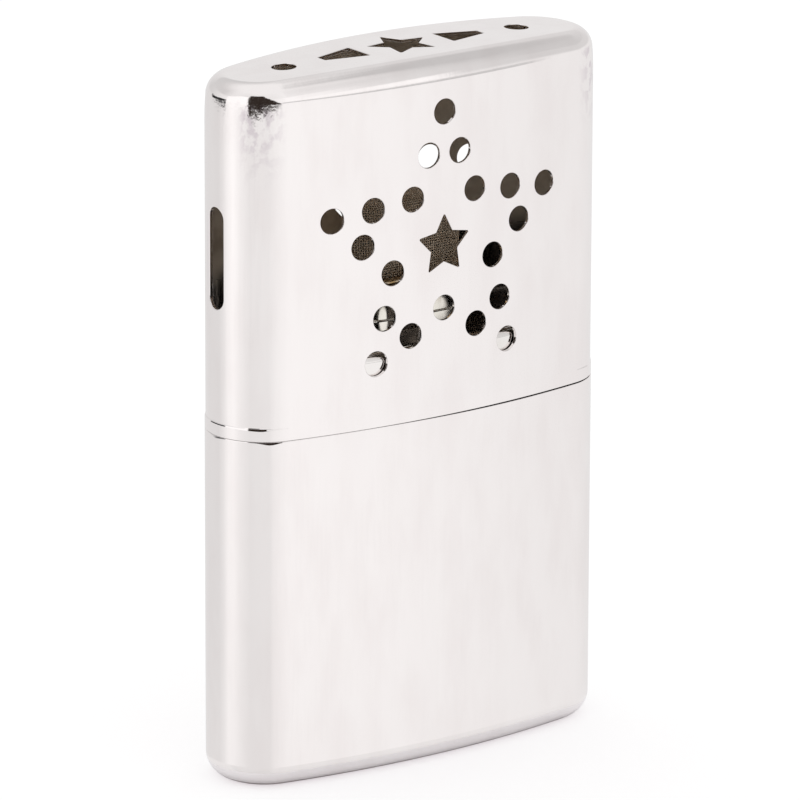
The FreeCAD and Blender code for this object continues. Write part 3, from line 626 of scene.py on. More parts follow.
def crown_rows(radius, steps=12):
    """Shoulder arc round the cap: points and normals, [station, row]."""
    out, up, last = crown_centres()
    share = np.linspace(0, 1, steps + 1)
    tilt = np.radians(CROWN_TILT + share[None, :] * (last[:, None] - CROWN_TILT))
    reach = out[:, None] + radius * np.cos(tilt)
    height = up[:, None] + radius * np.sin(tilt)
    normal = direction(case.angle)[:, None, :]
    level = case.centre[:, None, :] + reach[..., None] * normal
    points = np.concatenate([level, height[..., None]], axis=2)
    normals = np.concatenate([np.cos(tilt)[..., None] * normal, np.sin(tilt)[..., None]], axis=2)
    return points, normals


def flank_rows(foot, head):
    """Strip from the crease to the shoulder's arc: points and normals, [station, row].

    The points lie on straight lines from foot to head.  The tilt of the normals grows fast over
    the crease's small roll and then evenly up to the shoulder's own.
    """
    height = np.linalg.norm(head - foot, axis=1)
    roll = CREASE_ROLL / height
    share = np.stack([0 * roll, *(roll + (1 - roll) * third / 3 for third in range(4))], axis=1)
    points = foot[:, None] + share[..., None] * (head - foot)[:, None]
    start = math.degrees(math.atan(wall_slope(CREASE)))
    tilt = np.radians(np.concatenate([[start], np.linspace(CREASE_ROLL_TILT, CROWN_TILT, 4)]))
    level = np.cos(tilt)[:, None] * direction(case.angle)[:, None, :]
    upright = np.broadcast_to(np.sin(tilt)[:, None], share.shape + (1,))
    return points, np.concatenate([level, upright], axis=2)


def crown_patches():
    """Crown above the crease, outside and inside, and the arched top with its openings."""
    points, normals = crown_rows(CROWN_ROUNDING)
    edge = points[:, -1, :2]
    solid, top_normal, *_ = top_surface(edge, 0)
    points[:, -1], normals[:, -1] = solid, top_normal
    foot = np.column_stack([loop_at(case, wall_inset(CREASE)), np.full(len(edge), CREASE)])
    flank, flank_normals = flank_rows(foot, points[:, 0])

    under, under_normals = crown_rows(CROWN_ROUNDING - SHEET)
    under[:, -1], under_normals[:, -1] = top_surface(edge, SHEET)[:2]
    corner = np.column_stack([loop_at(case, wall_inset(CREASE) + SHEET), np.full(len(edge), CREASE)])
    under = np.concatenate([corner[:, None], under], axis=1)
    under_normals = np.concatenate([under_normals[:, :1], under_normals], axis=1)

    openings = [
        rounded_outline(star_corners(TOP_STAR_RADIUS, TOP_STAR_WAIST), PUNCH_CORNER),
        *(vent_outline(side) for side in (1, -1)),
        *(circle_outline((side * TOP_HOLE_OFFSET, 0), TOP_HOLE_RADIUS) for side in (1, -1)),
    ]
    spread = np.arange(-CASE_WIDTH / 2, CASE_WIDTH / 2, FACE_STEP)
    holes = [outline + PUNCH_ROLL * away for outline, away in openings]
    flat, faces = fill_flat(edge, holes, grid_points(spread, spread), TOP_CLEAR)
    upper, upper_normal, *_ = top_surface(flat, 0)
    lower, lower_normal, *_ = top_surface(flat, SHEET)
    return [
        grid_patch(flank, flank_normals),
        grid_patch(points, normals),
        grid_patch(under, -under_normals, finish=1, flip=True),
        Patch(upper, upper_normal, faces, 0),
        Patch(lower, -lower_normal, faces[:, ::-1], 1),
        *(lip_patch(outline, top_surface) for outline in openings),
    ]


def vent_outline(side):
    """Tapered vent beside the top's star, wide end towards it, anticlockwise."""
    near, far = side * VENT_START, side * VENT_END
    wide, narrow = side * VENT_START_WIDTH / 2, side * VENT_END_WIDTH / 2
    return rounded_outline([(near, -wide), (far, -narrow), (far, narrow), (near, wide)], PUNCH_CORNER)


def band_patch():
    """Narrow band over the cap's foot and the bevel in to the wall, with eased edges.

    On the faces the band leans in to the wall and has no bevel.  Where the sheet starts to
    bend tight the bevel is one slope, and round the ends it breaks into an upright slope and
    a lip that turns in.
    """
    fold = fold_angles(case)[:, None]
    level = 0 * fold
    foot = CAP_FOOT + CAP_EDGE
    lean = RIM_STEP * np.interp(fold, LEAN_FOLDS, (1.0, 0.0))
    deep = (RIM_STEP - lean) * np.interp(fold, BEVEL_FOLDS, BEVEL_SHARES)
    turn = RIM_STEP - lean - deep
    tall = np.interp(fold, BEVEL_FOLDS, BEVEL_HEIGHTS)
    reach = CAP_WALL_FOOT - BEVEL_LIP - tall - foot
    inset, height, tilt = [level], [foot + level], [level]
    for across, up, shares in (
        (lean, reach, LEAN_EASE), (deep, tall, BEVEL_EASE), (turn, BEVEL_LIP + level, BEVEL_EASE),
    ):
        start, base = inset[-1], height[-1]
        slope = np.degrees(np.arctan2(across, up))
        inset += [start + share * across for share in (*shares, 1)]
        height += [base + share * up for share in (*shares, 1)]
        tilt += [slope, slope, level]
    return carry(case, *(np.concatenate(rows, axis=1) for rows in (inset, height, tilt)))


def foot_strips(bore, head, foot, edge):
    """Profile down a sheet's bore from a height and round its broken lower edge."""
    return [
        run((bore, head), (bore, foot + edge)),
        bend(bore - edge, foot + edge, edge, 180, 270),
        run((bore - edge, foot), (edge, foot)),
        bend(edge, foot + edge, edge, -90, 0),
    ]


def cap_foot_patches():
    """Turned foot of the cap: narrow band, step in to the wall, bore and cut edge."""
    strips = foot_strips(RIM_STEP + SHEET, CAP_WALL_FOOT, CAP_FOOT, CAP_EDGE)
    inner_sides = (1, 1, 0, 0)
    return [band_patch(), *(sweep(case, rows, side) for rows, side in zip(strips, inner_sides))]


def make_cap(materials):
    """Slip-on cap: foot, perforated wall, crease, crown and pierced top, one closed shell."""
    patches = cap_foot_patches() + cap_wall_patches() + crown_patches()
    return make_piece("cap", patches, "cap", materials, ["cap_shell"])


# ------------------------------------------------------------------ tank and neck

# Spacing of points round the loops and over the flats.
NECK_STEPS = (0.5, 0.6)
TUBE_STEP = 0.4
FLOOR_STEP = 2.0
DECK_STEP = 1.5
FLAT_CLEAR = 0.5


def tank_rim_patch():
    """Drawn edge of the tank: the wall leans in softly, turns over and runs level to the bore.

    The lean is straight and its height changes round the oval, tallest where the ends are
    bent tightest and at their middle, where the sheet springs most.  The turn is an arc of the
    rim's rounding from the lean's tilt to level.  The edge sinks by a smooth step along X.
    """
    fold = fold_angles(case)[:, None]
    start, end = DROOP_SPAN
    share = np.clip((loop_at(case, 0)[:, :1] - start) / (end - start), 0, 1)
    top = TANK_TOP - RIM_DROOP * share * share * (3 - 2 * share)
    spring = RIM_SPRING + sum(
        size * np.exp(-((fold - middle) / width) ** 2) for middle, width, size in RIM_SPRINGS
    )
    tall = RIM_LEAN * spring
    last = math.radians(RIM_TILT)
    turn = np.radians(np.linspace(RIM_TILT, 90, 6))
    climb = tall * np.array([[0.0, LEAN_EASE[0], 1.0]])
    lean_inset = climb * math.tan(last)
    lean_height = top - RIM_ROUNDING * (1 - math.sin(last)) - tall + climb
    turn_inset = lean_inset[:, -1:] + RIM_ROUNDING * (math.cos(last) - np.cos(turn[1:]))
    turn_height = top - RIM_ROUNDING * (1 - np.sin(turn[1:]))
    low = 0 * tall + TANK_TOP - RIM_REACH
    bore = 0 * tall + SHEET
    inset = np.concatenate([0 * tall, lean_inset, turn_inset, bore - BORE_BREAK, bore, bore], axis=1)
    height = np.concatenate([low, lean_height, turn_height, top, top - BORE_BREAK, low], axis=1)
    tilt = [0.0, 0.0, RIM_TILT, *np.degrees(turn), 90.0, 180.0, 180.0]
    return carry(case, inset, height, tilt)


def make_tank(materials):
    """Deep-drawn tank, open at the top: base radius, wall, sprung rim and floor."""
    base, top = BASE_RADIUS, TANK_TOP
    strips = [
        (bend(base, base, base, -90, 0, 14), 0),
        (run((0, base), (0, top - RIM_REACH)), 0),
        (run((SHEET, top - RIM_REACH), (SHEET, base)), 1),
        (bend(base, base, base - SHEET, 180, 90, 8, hollow=True), 1),
    ]
    patches = [tank_rim_patch(), *(sweep(case, rows, finish) for rows, finish in strips)]
    spread = np.arange(-CASE_WIDTH / 2, CASE_WIDTH / 2, FLOOR_STEP)
    points, faces = fill_flat(loop_at(case, base), [], grid_points(spread, spread), FLAT_CLEAR)
    patches.append(flat_patch(points, faces, 0.0, 0, down=True))
    patches.append(flat_patch(points, faces, SHEET, 1))
    return make_piece("tank", patches, "tank", materials, ["tank_shell"])


def press_grip(patch):
    """Raises the two friction ribs on the front and the back of the neck's band.

    Each is a stadium that stands out by the grip's reach and fades over its rim.
    """
    x, _, z = patch.points.T
    along = np.clip(np.abs(x) - GRIP_HALF_LENGTH, 0, None)
    apart = np.hypot(along, z - GRIP_HEIGHT)
    swell = np.clip((GRIP_HALF_WIDTH - apart) / GRIP_FADE, 0, 1)
    swell = swell * swell * (3 - 2 * swell)
    on_face = np.abs(x) < END_CENTRE
    lift = GRIP_REACH * swell * on_face
    points = patch.points + patch.normals * lift[:, None]
    return patch._replace(points=points)


def make_neck(materials):
    """Neck sleeve: tail inside the tank, joggle, band for the cap, shoulder and deck."""
    loop = case_loop(case_lengths(*NECK_STEPS))
    foot, top = neck_low[2], neck_high[2]
    step = NECK_INSET - TAIL_INSET
    joggle = TANK_TOP - SHEET
    bore = NECK_INSET + SHEET
    rounding = NECK_ROUNDING
    inner = rounding - SHEET
    under = top - SHEET
    band_top = top - rounding
    rib_rows = [(NECK_INSET, height, 0.0) for height in np.linspace(joggle, band_top, 60)]
    strips = [
        run((bore, foot), (TAIL_INSET, foot)),
        run((TAIL_INSET, foot), (TAIL_INSET, joggle - step)),
        run((TAIL_INSET, joggle - step), (NECK_INSET, joggle)),
        bend(NECK_INSET + rounding, band_top, rounding, 0, 90, 10),
        bend(bore + inner, under - inner, inner, 270, 180, 6, hollow=True),
        run((bore, under - inner), (bore, foot)),
    ]
    patches = [sweep(loop, rows) for rows in strips]
    patches.append(press_grip(sweep(loop, rib_rows)))
    slot = slot_loop(*(size + 2 * SOLDER_GAP for size in mouth_size()), TUBE_STEP)
    opening = loop_at(slot, 0)
    spread = np.arange(-CASE_WIDTH / 2, CASE_WIDTH / 2, DECK_STEP)
    edge = loop_at(loop, NECK_INSET + rounding)
    points, faces = fill_flat(edge, [opening], grid_points(spread, spread), FLAT_CLEAR)
    patches.append(flat_patch(points, faces, top))
    patches.append(flat_patch(points, faces, under, down=True))
    patches.append(sweep(slot, run((0, top), (0, under))))
    return make_piece("neck", patches, "tank", materials, ["neck_sleeve"])


def mouth_size():
    """Length and width of the filler mouth's tube, inside its flange."""
    flange = mouth_high - mouth_low
    return flange[0] - 2 * MOUTH_FLANGE, flange[1] - 2 * MOUTH_FLANGE


def make_mouth(materials):
    """Oval filler tube with a rounded rim and a flange under the deck."""
    length, width = mouth_size()
    loop = slot_loop(length, width, TUBE_STEP)
    foot, top = mouth_low[2], mouth_high[2]
    ledge = foot + MOUTH_WALL
    rim = MOUTH_ROUNDING
    strips = [
        run((MOUTH_WALL, foot), (-MOUTH_FLANGE, foot)),
        run((-MOUTH_FLANGE, foot), (-MOUTH_FLANGE, ledge)),
        run((-MOUTH_FLANGE, ledge), (0, ledge)),
        run((0, ledge), (0, top - rim)),
        bend(rim, top - rim, rim, 0, 90),
        bend(MOUTH_WALL - rim, top - rim, rim, 90, 180),
        run((MOUTH_WALL, top - rim), (MOUTH_WALL, foot)),
    ]
    patches = [sweep(loop, rows) for rows in strips]
    patches.append(sweep(loop, run((rim, top), (MOUTH_WALL - rim, top))))
    return make_piece("mouth", patches, "tank", materials, ["filler_mouth"])


# ------------------------------------------------------------------ burner

SKIRT_STEP = 0.3


def make_skirt(materials):
    """Oval collar over the mouth: turned-out foot, bead, wall, shoulder and cage window."""
    length, width, _ = skirt_high - skirt_low
    loop = slot_loop(length, width, SKIRT_STEP)
    foot, top = skirt_low[2], skirt_high[2]
    bead, step, shoulder = foot + BEAD_HEIGHT, BEAD_STEP, SKIRT_ROUNDING
    bore = step + SKIRT_WALL
    window = (length - cage_outer()[0]) / 2 - SOLDER_GAP
    ceiling = top - SKIRT_WALL
    edge = SKIRT_EDGE
    strips = [
        *foot_strips(bore, ceiling, foot, edge),
        run((0, foot + edge), (0, bead - step)),
        bend(step, bead - step, step, 0, 90, 6),
        run((step, bead), (step, top - shoulder)),
        bend(step + shoulder, top - shoulder, shoulder, 0, 90, 8),
        run((step + shoulder, top), (window - edge, top)),
        bend(window - edge, top - edge, edge, 90, 180),
        run((window, top - edge), (window, ceiling)),
        run((window, ceiling), (bore, ceiling)),
    ]
    patches = [sweep(loop, rows) for rows in strips]
    return make_piece("skirt", patches, "burner", materials, ["burner_skirt"])


def cage_outer():
    """Length and width of the gauze cage's wall, inside its flange."""
    size = cage_high - cage_low
    return size[0] - 2 * CAGE_FLANGE, size[1] - 2 * CAGE_FLANGE


# The woven wire is drawn about as coarse as it needs to be to show.
WIRE_RADIUS = 0.09
GAUZE_COLUMNS = 124
GAUZE_ROWS = 35
LID_PITCH = 0.4
LID_MARGIN = 0.3
WALK_STEP = 0.02
SAMPLES_PER_CROSSING = 2


def wire_patch(centres, out, across, closed):
    """Square-sided wires with round shading along centre lines [wire, sample].

    Each sample has four corners, one wire radius from the line along its two directions.
    """
    sides = np.stack([out, across, -out, -across], axis=2)
    points = centres[:, :, None, :] + WIRE_RADIUS * sides
    wires, samples = centres.shape[:2]
    index = np.arange(wires * samples * 4).reshape(wires, samples, 4)
    if closed:
        index = np.concatenate([index, index[:, :1]], axis=1)
    turned = np.roll(index, -1, axis=2)
    ring = (index[:, :-1], index[:, 1:], turned[:, 1:], turned[:, :-1])
    faces = np.stack([side.ravel() for side in ring], axis=-1)
    if not closed:
        faces = np.concatenate([faces, index[:, 0], index[:, -1, ::-1]])
    return Patch(points.reshape(-1, 3), sides.reshape(-1, 3), faces, 0)


def unit(vectors):
    """Vectors scaled to length one."""
    return vectors / np.linalg.norm(vectors, axis=-1, keepdims=True)


def wires_along(centres, normals, closed=False):
    """Wires whose cross directions come from their line and the cloth's normals."""
    if closed:
        along = np.roll(centres, -1, axis=1) - np.roll(centres, 1, axis=1)
    else:
        along = np.gradient(centres, axis=1)
    across = unit(np.cross(normals, along))
    out = unit(np.cross(along, across))
    return wire_patch(centres, out, across, closed)


def cage_wall_points(place, climb, lift):
    """Points of the cage's wall and shoulder from shares round it and distances up it.

    Up to the shoulder the height grows; over it the tilt grows with the distance, and the
    line turns in on the shoulder's arc.  Lift moves a point out along the normal.
    """
    length, width = cage_outer()
    loop = slot_loop(length, width, WALK_STEP)
    sides = loop_at(loop, WIRE_RADIUS * 2)
    gaps = np.linalg.norm(np.roll(sides, -1, axis=0) - sides, axis=1)
    walked = np.concatenate([[0], np.cumsum(gaps)])
    station = np.interp(place * walked[-1], walked, np.arange(len(walked)))
    nearest_station = np.round(station).astype(int) % len(sides)
    centre, angle = loop.centre[nearest_station], loop.angle[nearest_station]
    straight = cage_high[2] - CAGE_ROUNDING - cage_low[2]
    radius = CAGE_ROUNDING - WIRE_RADIUS * 2
    tilt = np.clip((climb - straight) / radius, 0, np.pi / 2)
    height = cage_low[2] + np.minimum(climb, straight) + (radius + lift) * np.sin(tilt)
    reach = width / 2 - CAGE_ROUNDING + (radius + lift) * np.cos(tilt)
    level = centre + reach[..., None] * direction(angle)
    normal = np.cos(tilt)[..., None] * direction(angle)
    points = np.concatenate([level, height[..., None]], axis=-1)
    return points, np.concatenate([normal, np.sin(tilt)[..., None]], axis=-1)


def gauze_wall_patches():
    """Plain weave round the cage: uprights and rings pass over and under each other.

    At crossing (i, j) upright i stands out and ring j in where i + j is even.
    """
    radius = CAGE_ROUNDING - WIRE_RADIUS * 2
    rise = cage_high[2] - CAGE_ROUNDING - cage_low[2] + radius * np.pi / 2
    columns = np.arange(GAUZE_COLUMNS)
    rows = np.arange(1, GAUZE_ROWS)
    steps = np.linspace(0, GAUZE_ROWS, GAUZE_ROWS * SAMPLES_PER_CROSSING + 1)
    place, climb = np.meshgrid(columns / GAUZE_COLUMNS, steps / GAUZE_ROWS * rise, indexing="ij")
    wave = np.cos(np.pi * (steps[None, :] - columns[:, None]))
    uprights = cage_wall_points(place, climb, WIRE_RADIUS * wave)
    turns = np.linspace(0, GAUZE_COLUMNS, GAUZE_COLUMNS * SAMPLES_PER_CROSSING, endpoint=False)
    climb, place = np.meshgrid(rows / GAUZE_ROWS * rise, turns / GAUZE_COLUMNS, indexing="ij")
    wave = -np.cos(np.pi * (turns[None, :] - rows[:, None]))
    rings = cage_wall_points(place, climb, WIRE_RADIUS * wave)
    return [wires_along(*uprights), wires_along(*rings, closed=True)]


def gauze_lid_patches():
    """Flat weave over the top of the cage, cut to its oval."""
    length, width = cage_outer()
    half_width = width / 2 - CAGE_ROUNDING
    half_length = length / 2 - CAGE_ROUNDING
    straight = half_length - half_width
    pitch = 2 * half_width / round(2 * half_width / LID_PITCH)
    height = cage_high[2] - 2 * WIRE_RADIUS
    patches = []
    for lengthwise in (True, False):
        reach = half_width if lengthwise else half_length
        count = int(reach / pitch - LID_MARGIN)
        place = np.arange(-count, count + 1) * pitch
        if lengthwise:
            end = straight + np.sqrt(half_width ** 2 - place ** 2)
        else:
            end = np.sqrt(half_width ** 2 - np.clip(np.abs(place) - straight, 0, None) ** 2)
        samples = int(2 * end.max() / pitch * SAMPLES_PER_CROSSING) + 1
        along = end[:, None] * np.linspace(-1, 1, samples)[None, :]
        across = np.broadcast_to(place[:, None], along.shape)
        side = 1 if lengthwise else -1
        wave = side * np.cos(np.pi * (along / pitch - np.round(across / pitch)))
        plan = (along, across) if lengthwise else (across, along)
        centres = np.stack([*plan, height + WIRE_RADIUS * wave], axis=-1)
        patches.append(wires_along(centres, np.broadcast_to([0.0, 0.0, 1.0], centres.shape)))
    return patches


def make_gauze(materials):
    """Woven gauze cage with its clamped flange."""
    length, width, _ = cage_high - cage_low
    loop = slot_loop(length, width, TUBE_STEP)
    foot = cage_low[2]
    bore = CAGE_FLANGE + CAGE_SHEET
    top = foot + CAGE_SHEET
    strips = [
        run((bore, foot), (0, foot)),
        run((0, foot), (0, top)),
        run((0, top), (bore, top)),
        run((bore, top), (bore, foot)),
    ]
    patches = [sweep(loop, rows) for rows in strips]
    patches += gauze_wall_patches() + gauze_lid_patches()
    return make_piece("gauze", patches, "burner", materials, ["gauze_cage"])


# ------------------------------------------------------------------ soft fillings

# Dents are a sum of sines; finer ones lie over them, as shares of their size and depth.
SINES = 12
WAVE_SPREAD = (0.6, 1.6)
FINE_SIZE = 0.25
FINE_DEPTH = 0.4
LEAST_STEP = 0.5
MAT_STEP = 0.25
PAD_STEP = 0.3
WADDING_STEPS = (0.8, 0.6)


def lumps(points, size, seed):
    """Smooth unevenness between 0 and 1: a mean of sines across turned directions.

    Each sine has its own direction, phase and wavelength near the given size.
    """
    draw = np.random.default_rng(seed)
    way = unit(draw.normal(size=(SINES, 3)))
    wave = size * draw.uniform(*WAVE_SPREAD, SINES)
    phase = draw.uniform(0, 2 * np.pi, SINES)
    total = np.sin(points @ (way / wave[:, None]).T * 2 * np.pi + phase).mean(axis=1)
    return np.clip(0.5 + total, 0, 1)


def soft_piece(name, loop, levels, body, material, node, size, depth, seed):
    """Stuffed piece: rows round a loop with filled ends, dented in by smooth lumps.

    Dents go only inward along the normals, so the piece stays inside its own space.
    """
    rows = np.array(levels, dtype=float)
    side = sweep(loop, rows)
    step = max(LEAST_STEP, depth)
    reach = np.abs(loop_at(loop, 0)).max()
    spread = np.arange(-reach, reach, step)
    patches = [side]
    for row, down in ((rows[0], True), (rows[-1], False)):
        outline = loop_at(loop, row[0])
        points, faces = fill_flat(outline, [], grid_points(spread, spread), step / 3)
        patches.append(flat_patch(points, faces, row[1], down=down))
    dented = []
    for patch in patches:
        large = depth * lumps(patch.points, size, seed)
        small = depth * FINE_DEPTH * lumps(patch.points, size * FINE_SIZE, seed + 1)
        dented.append(patch._replace(points=patch.points - patch.normals * (large + small)[:, None]))
    piece = make_piece(name, dented, body, [material], [node])
    return piece


def crowned_levels(foot, top, rounding, rows):
    """Rows of a soft form: rounded foot, upright flank, rounded head."""
    heights = np.linspace(foot + rounding, top - rounding, rows)[1:-1]
    return [
        *bend(rounding, foot + rounding, rounding, -90, 0, 6),
        *((0.0, height, 0.0) for height in heights),
        *bend(rounding, top - rounding, rounding, 0, 90, 6),
    ]


def wadding_levels():
    """Rows of the wadding: rounded base, flank along the tank, shoulder, and head in the neck."""
    foot, top = fill_low[2], fill_high[2]
    lower, upper = WADDING_GAP, NECK_INSET + SHEET + WADDING_NECK_GAP
    base, round_top = BASE_RADIUS - lower, WADDING_ROUNDING
    shoulder = neck_low[2] - WADDING_NECK_GAP
    flank_top = shoulder - 2 * WADDING_SHOULDER
    flank = np.linspace(foot + base, flank_top, 40)[1:]
    head = np.linspace(shoulder + 1.5 * WADDING_SHOULDER, top - round_top, 12)
    return [
        *bend(lower + base, foot + base, base, -90, 0, 6),
        *((lower, height, 0.0) for height in flank),
        *bend(lower + WADDING_SHOULDER, flank_top, WADDING_SHOULDER, 0, 60, 4)[1:],
        (upper, shoulder + WADDING_SHOULDER, 20.0),
        *((upper, height, 0.0) for height in head),
        *bend(upper + round_top, top - round_top, round_top, 0, 90, 6)[1:],
    ]


def make_fillings(mat_finish, felt_finish, cotton_finish):
    """Catalyst mat, felt wick pad and the tank's wadding."""
    length, width, _ = mat_high - mat_low
    soft_piece(
        "mat", slot_loop(length, width, MAT_STEP),
        crowned_levels(mat_low[2], mat_high[2], MAT_ROUNDING, 40),
        "burner", mat_finish, "catalyst_mat", size=1.6, depth=0.12, seed=3,
    )
    length, width, _ = pad_high - pad_low
    soft_piece(
        "felt", slot_loop(length, width, PAD_STEP),
        crowned_levels(pad_low[2], pad_high[2], PAD_ROUNDING, 12),
        "tank", felt_finish, "wick_pad", size=2.4, depth=0.14, seed=5,
    )
    soft_piece(
        "cotton", case_loop(case_lengths(*WADDING_STEPS)), wadding_levels(),
        "tank", cotton_finish, "cotton_fill", size=6.0, depth=0.5, seed=8,
    )


# ------------------------------------------------------------------ finishes

def linear(hex_colour):
    """sRGB hex to linear red, green, blue and alpha."""
    channels = np.array([int(hex_colour[start:start + 2], 16) for start in (1, 3, 5)]) / 255
    low, high = channels / 12.92, ((channels + 0.055) / 1.055) ** 2.4
    return (*np.where(channels <= 0.04045, low, high).tolist(), 1.0)


def add(tree, kind, inputs=(), **settings):
    """Adds a node with its settings; inputs are (socket, value, another node or its output)."""
    node = tree.nodes.new(kind)
    for name, setting in settings.items():
        setattr(node, name, setting)
    for socket, source in dict(inputs).items():
        if isinstance(source, bpy.types.Node):
            source = source.outputs[0]
        if isinstance(source, bpy.types.NodeSocket):
            tree.links.new(source, node.inputs[socket])
        else:
            node.inputs[socket].default_value = source
    return node


def new_finish(name):
    """Empty material, its tree and the place on the object that its patterns read."""
    material = bpy.data.materials.new(name)
    material.use_nodes = True
    tree = material.node_tree
    tree.nodes.clear()
    return material, tree, add(tree, "ShaderNodeTexCoord").outputs["Object"]


def grain(across, along, upright):
    """Scale of a pattern whose grain has a real size in millimetres on each axis."""
    return tuple(1 / (size * MM) for size in (across, along, upright))


SMOOTH = {"interpolation_type": "SMOOTHSTEP"}
COLOUR = {"data_type": "RGBA"}

PLATE_COLOUR = "#faf5f4"
PLATE_STAIN = "#f6f0ef"
PLATE_ROUGHNESS = (0.05, 0.12)
PLATE_LINES = 0.004
FLECK_COLOUR = "#e1d8dc"

# The grained skin starts at one distance from the middle and is full at the next; it grows up
# the wall, ends at the crease, and its grey flecks stop before the middle of the ends.
PEEL_HEIGHT = 0.02
PEEL_SIDES = (24.0, 27.5)
PEEL_RISE = (CREASE - 13.0, CREASE - 1.0)
PEEL_END = (CREASE, CREASE + 0.4)
FLECK_SIDES = (29.2, 30.0)


def peel(tree, place, plate, relief, height):
    """Orange-peel grain and grey flecks, laid over a plate and its relief.

    Drawing the sheet round the tight ends leaves it grained below the crown, which breaks up
    the edges of what it mirrors there.
    """
    across, _, up = add(tree, "ShaderNodeSeparateXYZ", {0: place}).outputs
    outward = add(tree, "ShaderNodeMath", {0: across}, operation="ABSOLUTE")
    growing, ending = (0.0, 1.0), (1.0, 0.0)
    limits = []
    for way, (near, far), (first, last), ramp in (
        (outward, PEEL_SIDES, growing, SMOOTH), (up, PEEL_RISE, growing, SMOOTH),
        (up, PEEL_END, ending, {}), (outward, FLECK_SIDES, ending, SMOOTH),
    ):
        limits.append(add(tree, "ShaderNodeMapRange", {
            0: way, 1: near * MM, 2: far * MM, 3: first, 4: last,
        }, **ramp))
    share, rise, crest, fleck_end = limits
    for limit in (rise, crest):
        share = add(tree, "ShaderNodeMath", {0: share, 1: limit}, operation="MULTIPLY")
    patches = add(tree, "ShaderNodeMapping", {"Vector": place, "Scale": grain(1.3, 1.3, 1.7)})
    mottle = add(tree, "ShaderNodeTexNoise", {"Vector": patches, "Scale": 1.0, "Detail": 6.0})
    flecks = add(tree, "ShaderNodeMapRange", {0: mottle, 1: 0.44, 2: 0.6}, **SMOOTH)
    for limit in (share, fleck_end):
        flecks = add(tree, "ShaderNodeMath", {0: flecks, 1: limit}, operation="MULTIPLY")
    plate = add(tree, "ShaderNodeMix", {
        0: flecks, 6: plate.outputs[2], 7: linear(FLECK_COLOUR),
    }, **COLOUR)
    pebbles = add(tree, "ShaderNodeMapping", {"Vector": place, "Scale": grain(0.55, 0.55, 0.7)})
    skin = add(tree, "ShaderNodeTexNoise", {"Vector": pebbles, "Scale": 1.0, "Detail": 3.0})
    skin = add(tree, "ShaderNodeMath", {0: skin, 1: share}, operation="MULTIPLY")
    relief = add(tree, "ShaderNodeBump", {"Distance": height * MM, "Height": skin, "Normal": relief})
    return plate, relief


def nickel_finish(name, colour, stain, rough, line_height, peel_height=0.0):
    """Bright nickel plate over polished sheet.

    The plate is a near-white mirror with a rosy warmth.  Upright polishing lines under it, a
    third of a millimetre apart, stretch what it mirrors into streaks and vary its gloss, and a thin
    haze of wear tints it towards its stain.
    """
    material, tree, place = new_finish(name)
    lines = add(tree, "ShaderNodeMapping", {"Vector": place, "Scale": grain(0.35, 0.35, 9.0)})
    fine = add(tree, "ShaderNodeTexNoise", {"Vector": lines, "Scale": 1.0, "Detail": 2.0})
    bands = add(tree, "ShaderNodeMapping", {
        "Vector": place, "Location": (7.0, 7.0, 7.0), "Scale": grain(1.5, 1.5, 40.0),
    })
    broad = add(tree, "ShaderNodeTexNoise", {"Vector": bands, "Scale": 1.0, "Detail": 2.0})
    clouds = add(tree, "ShaderNodeMapping", {
        "Vector": place, "Location": (3.0, 3.0, 3.0), "Scale": grain(5.0, 5.0, 14.0),
    })
    haze = add(tree, "ShaderNodeTexNoise", {"Vector": clouds, "Scale": 1.0, "Detail": 4.0})
    worn = add(tree, "ShaderNodeMapRange", {0: haze, 1: 0.35, 2: 0.75}, **SMOOTH)
    plate = add(tree, "ShaderNodeMix", {0: worn, 6: linear(colour), 7: linear(stain)}, **COLOUR)
    span = {0: fine, 1: 0.3, 2: 0.8, 3: rough[0], 4: rough[1]}
    gloss = add(tree, "ShaderNodeMapRange", span, **SMOOTH)
    relief = add(tree, "ShaderNodeBump", {"Distance": line_height * MM, "Height": fine})
    relief = add(tree, "ShaderNodeBump", {
        "Distance": 1.8 * line_height * MM, "Height": broad, "Normal": relief,
    })
    if peel_height:
        plate, relief = peel(tree, place, plate, relief, peel_height)
    shader = add(tree, "ShaderNodeBsdfPrincipled", {
        "Base Color": plate.outputs[2], "Metallic": 1.0, "Roughness": gloss, "Normal": relief,
    })
    add(tree, "ShaderNodeOutputMaterial", {0: shader})
    return material


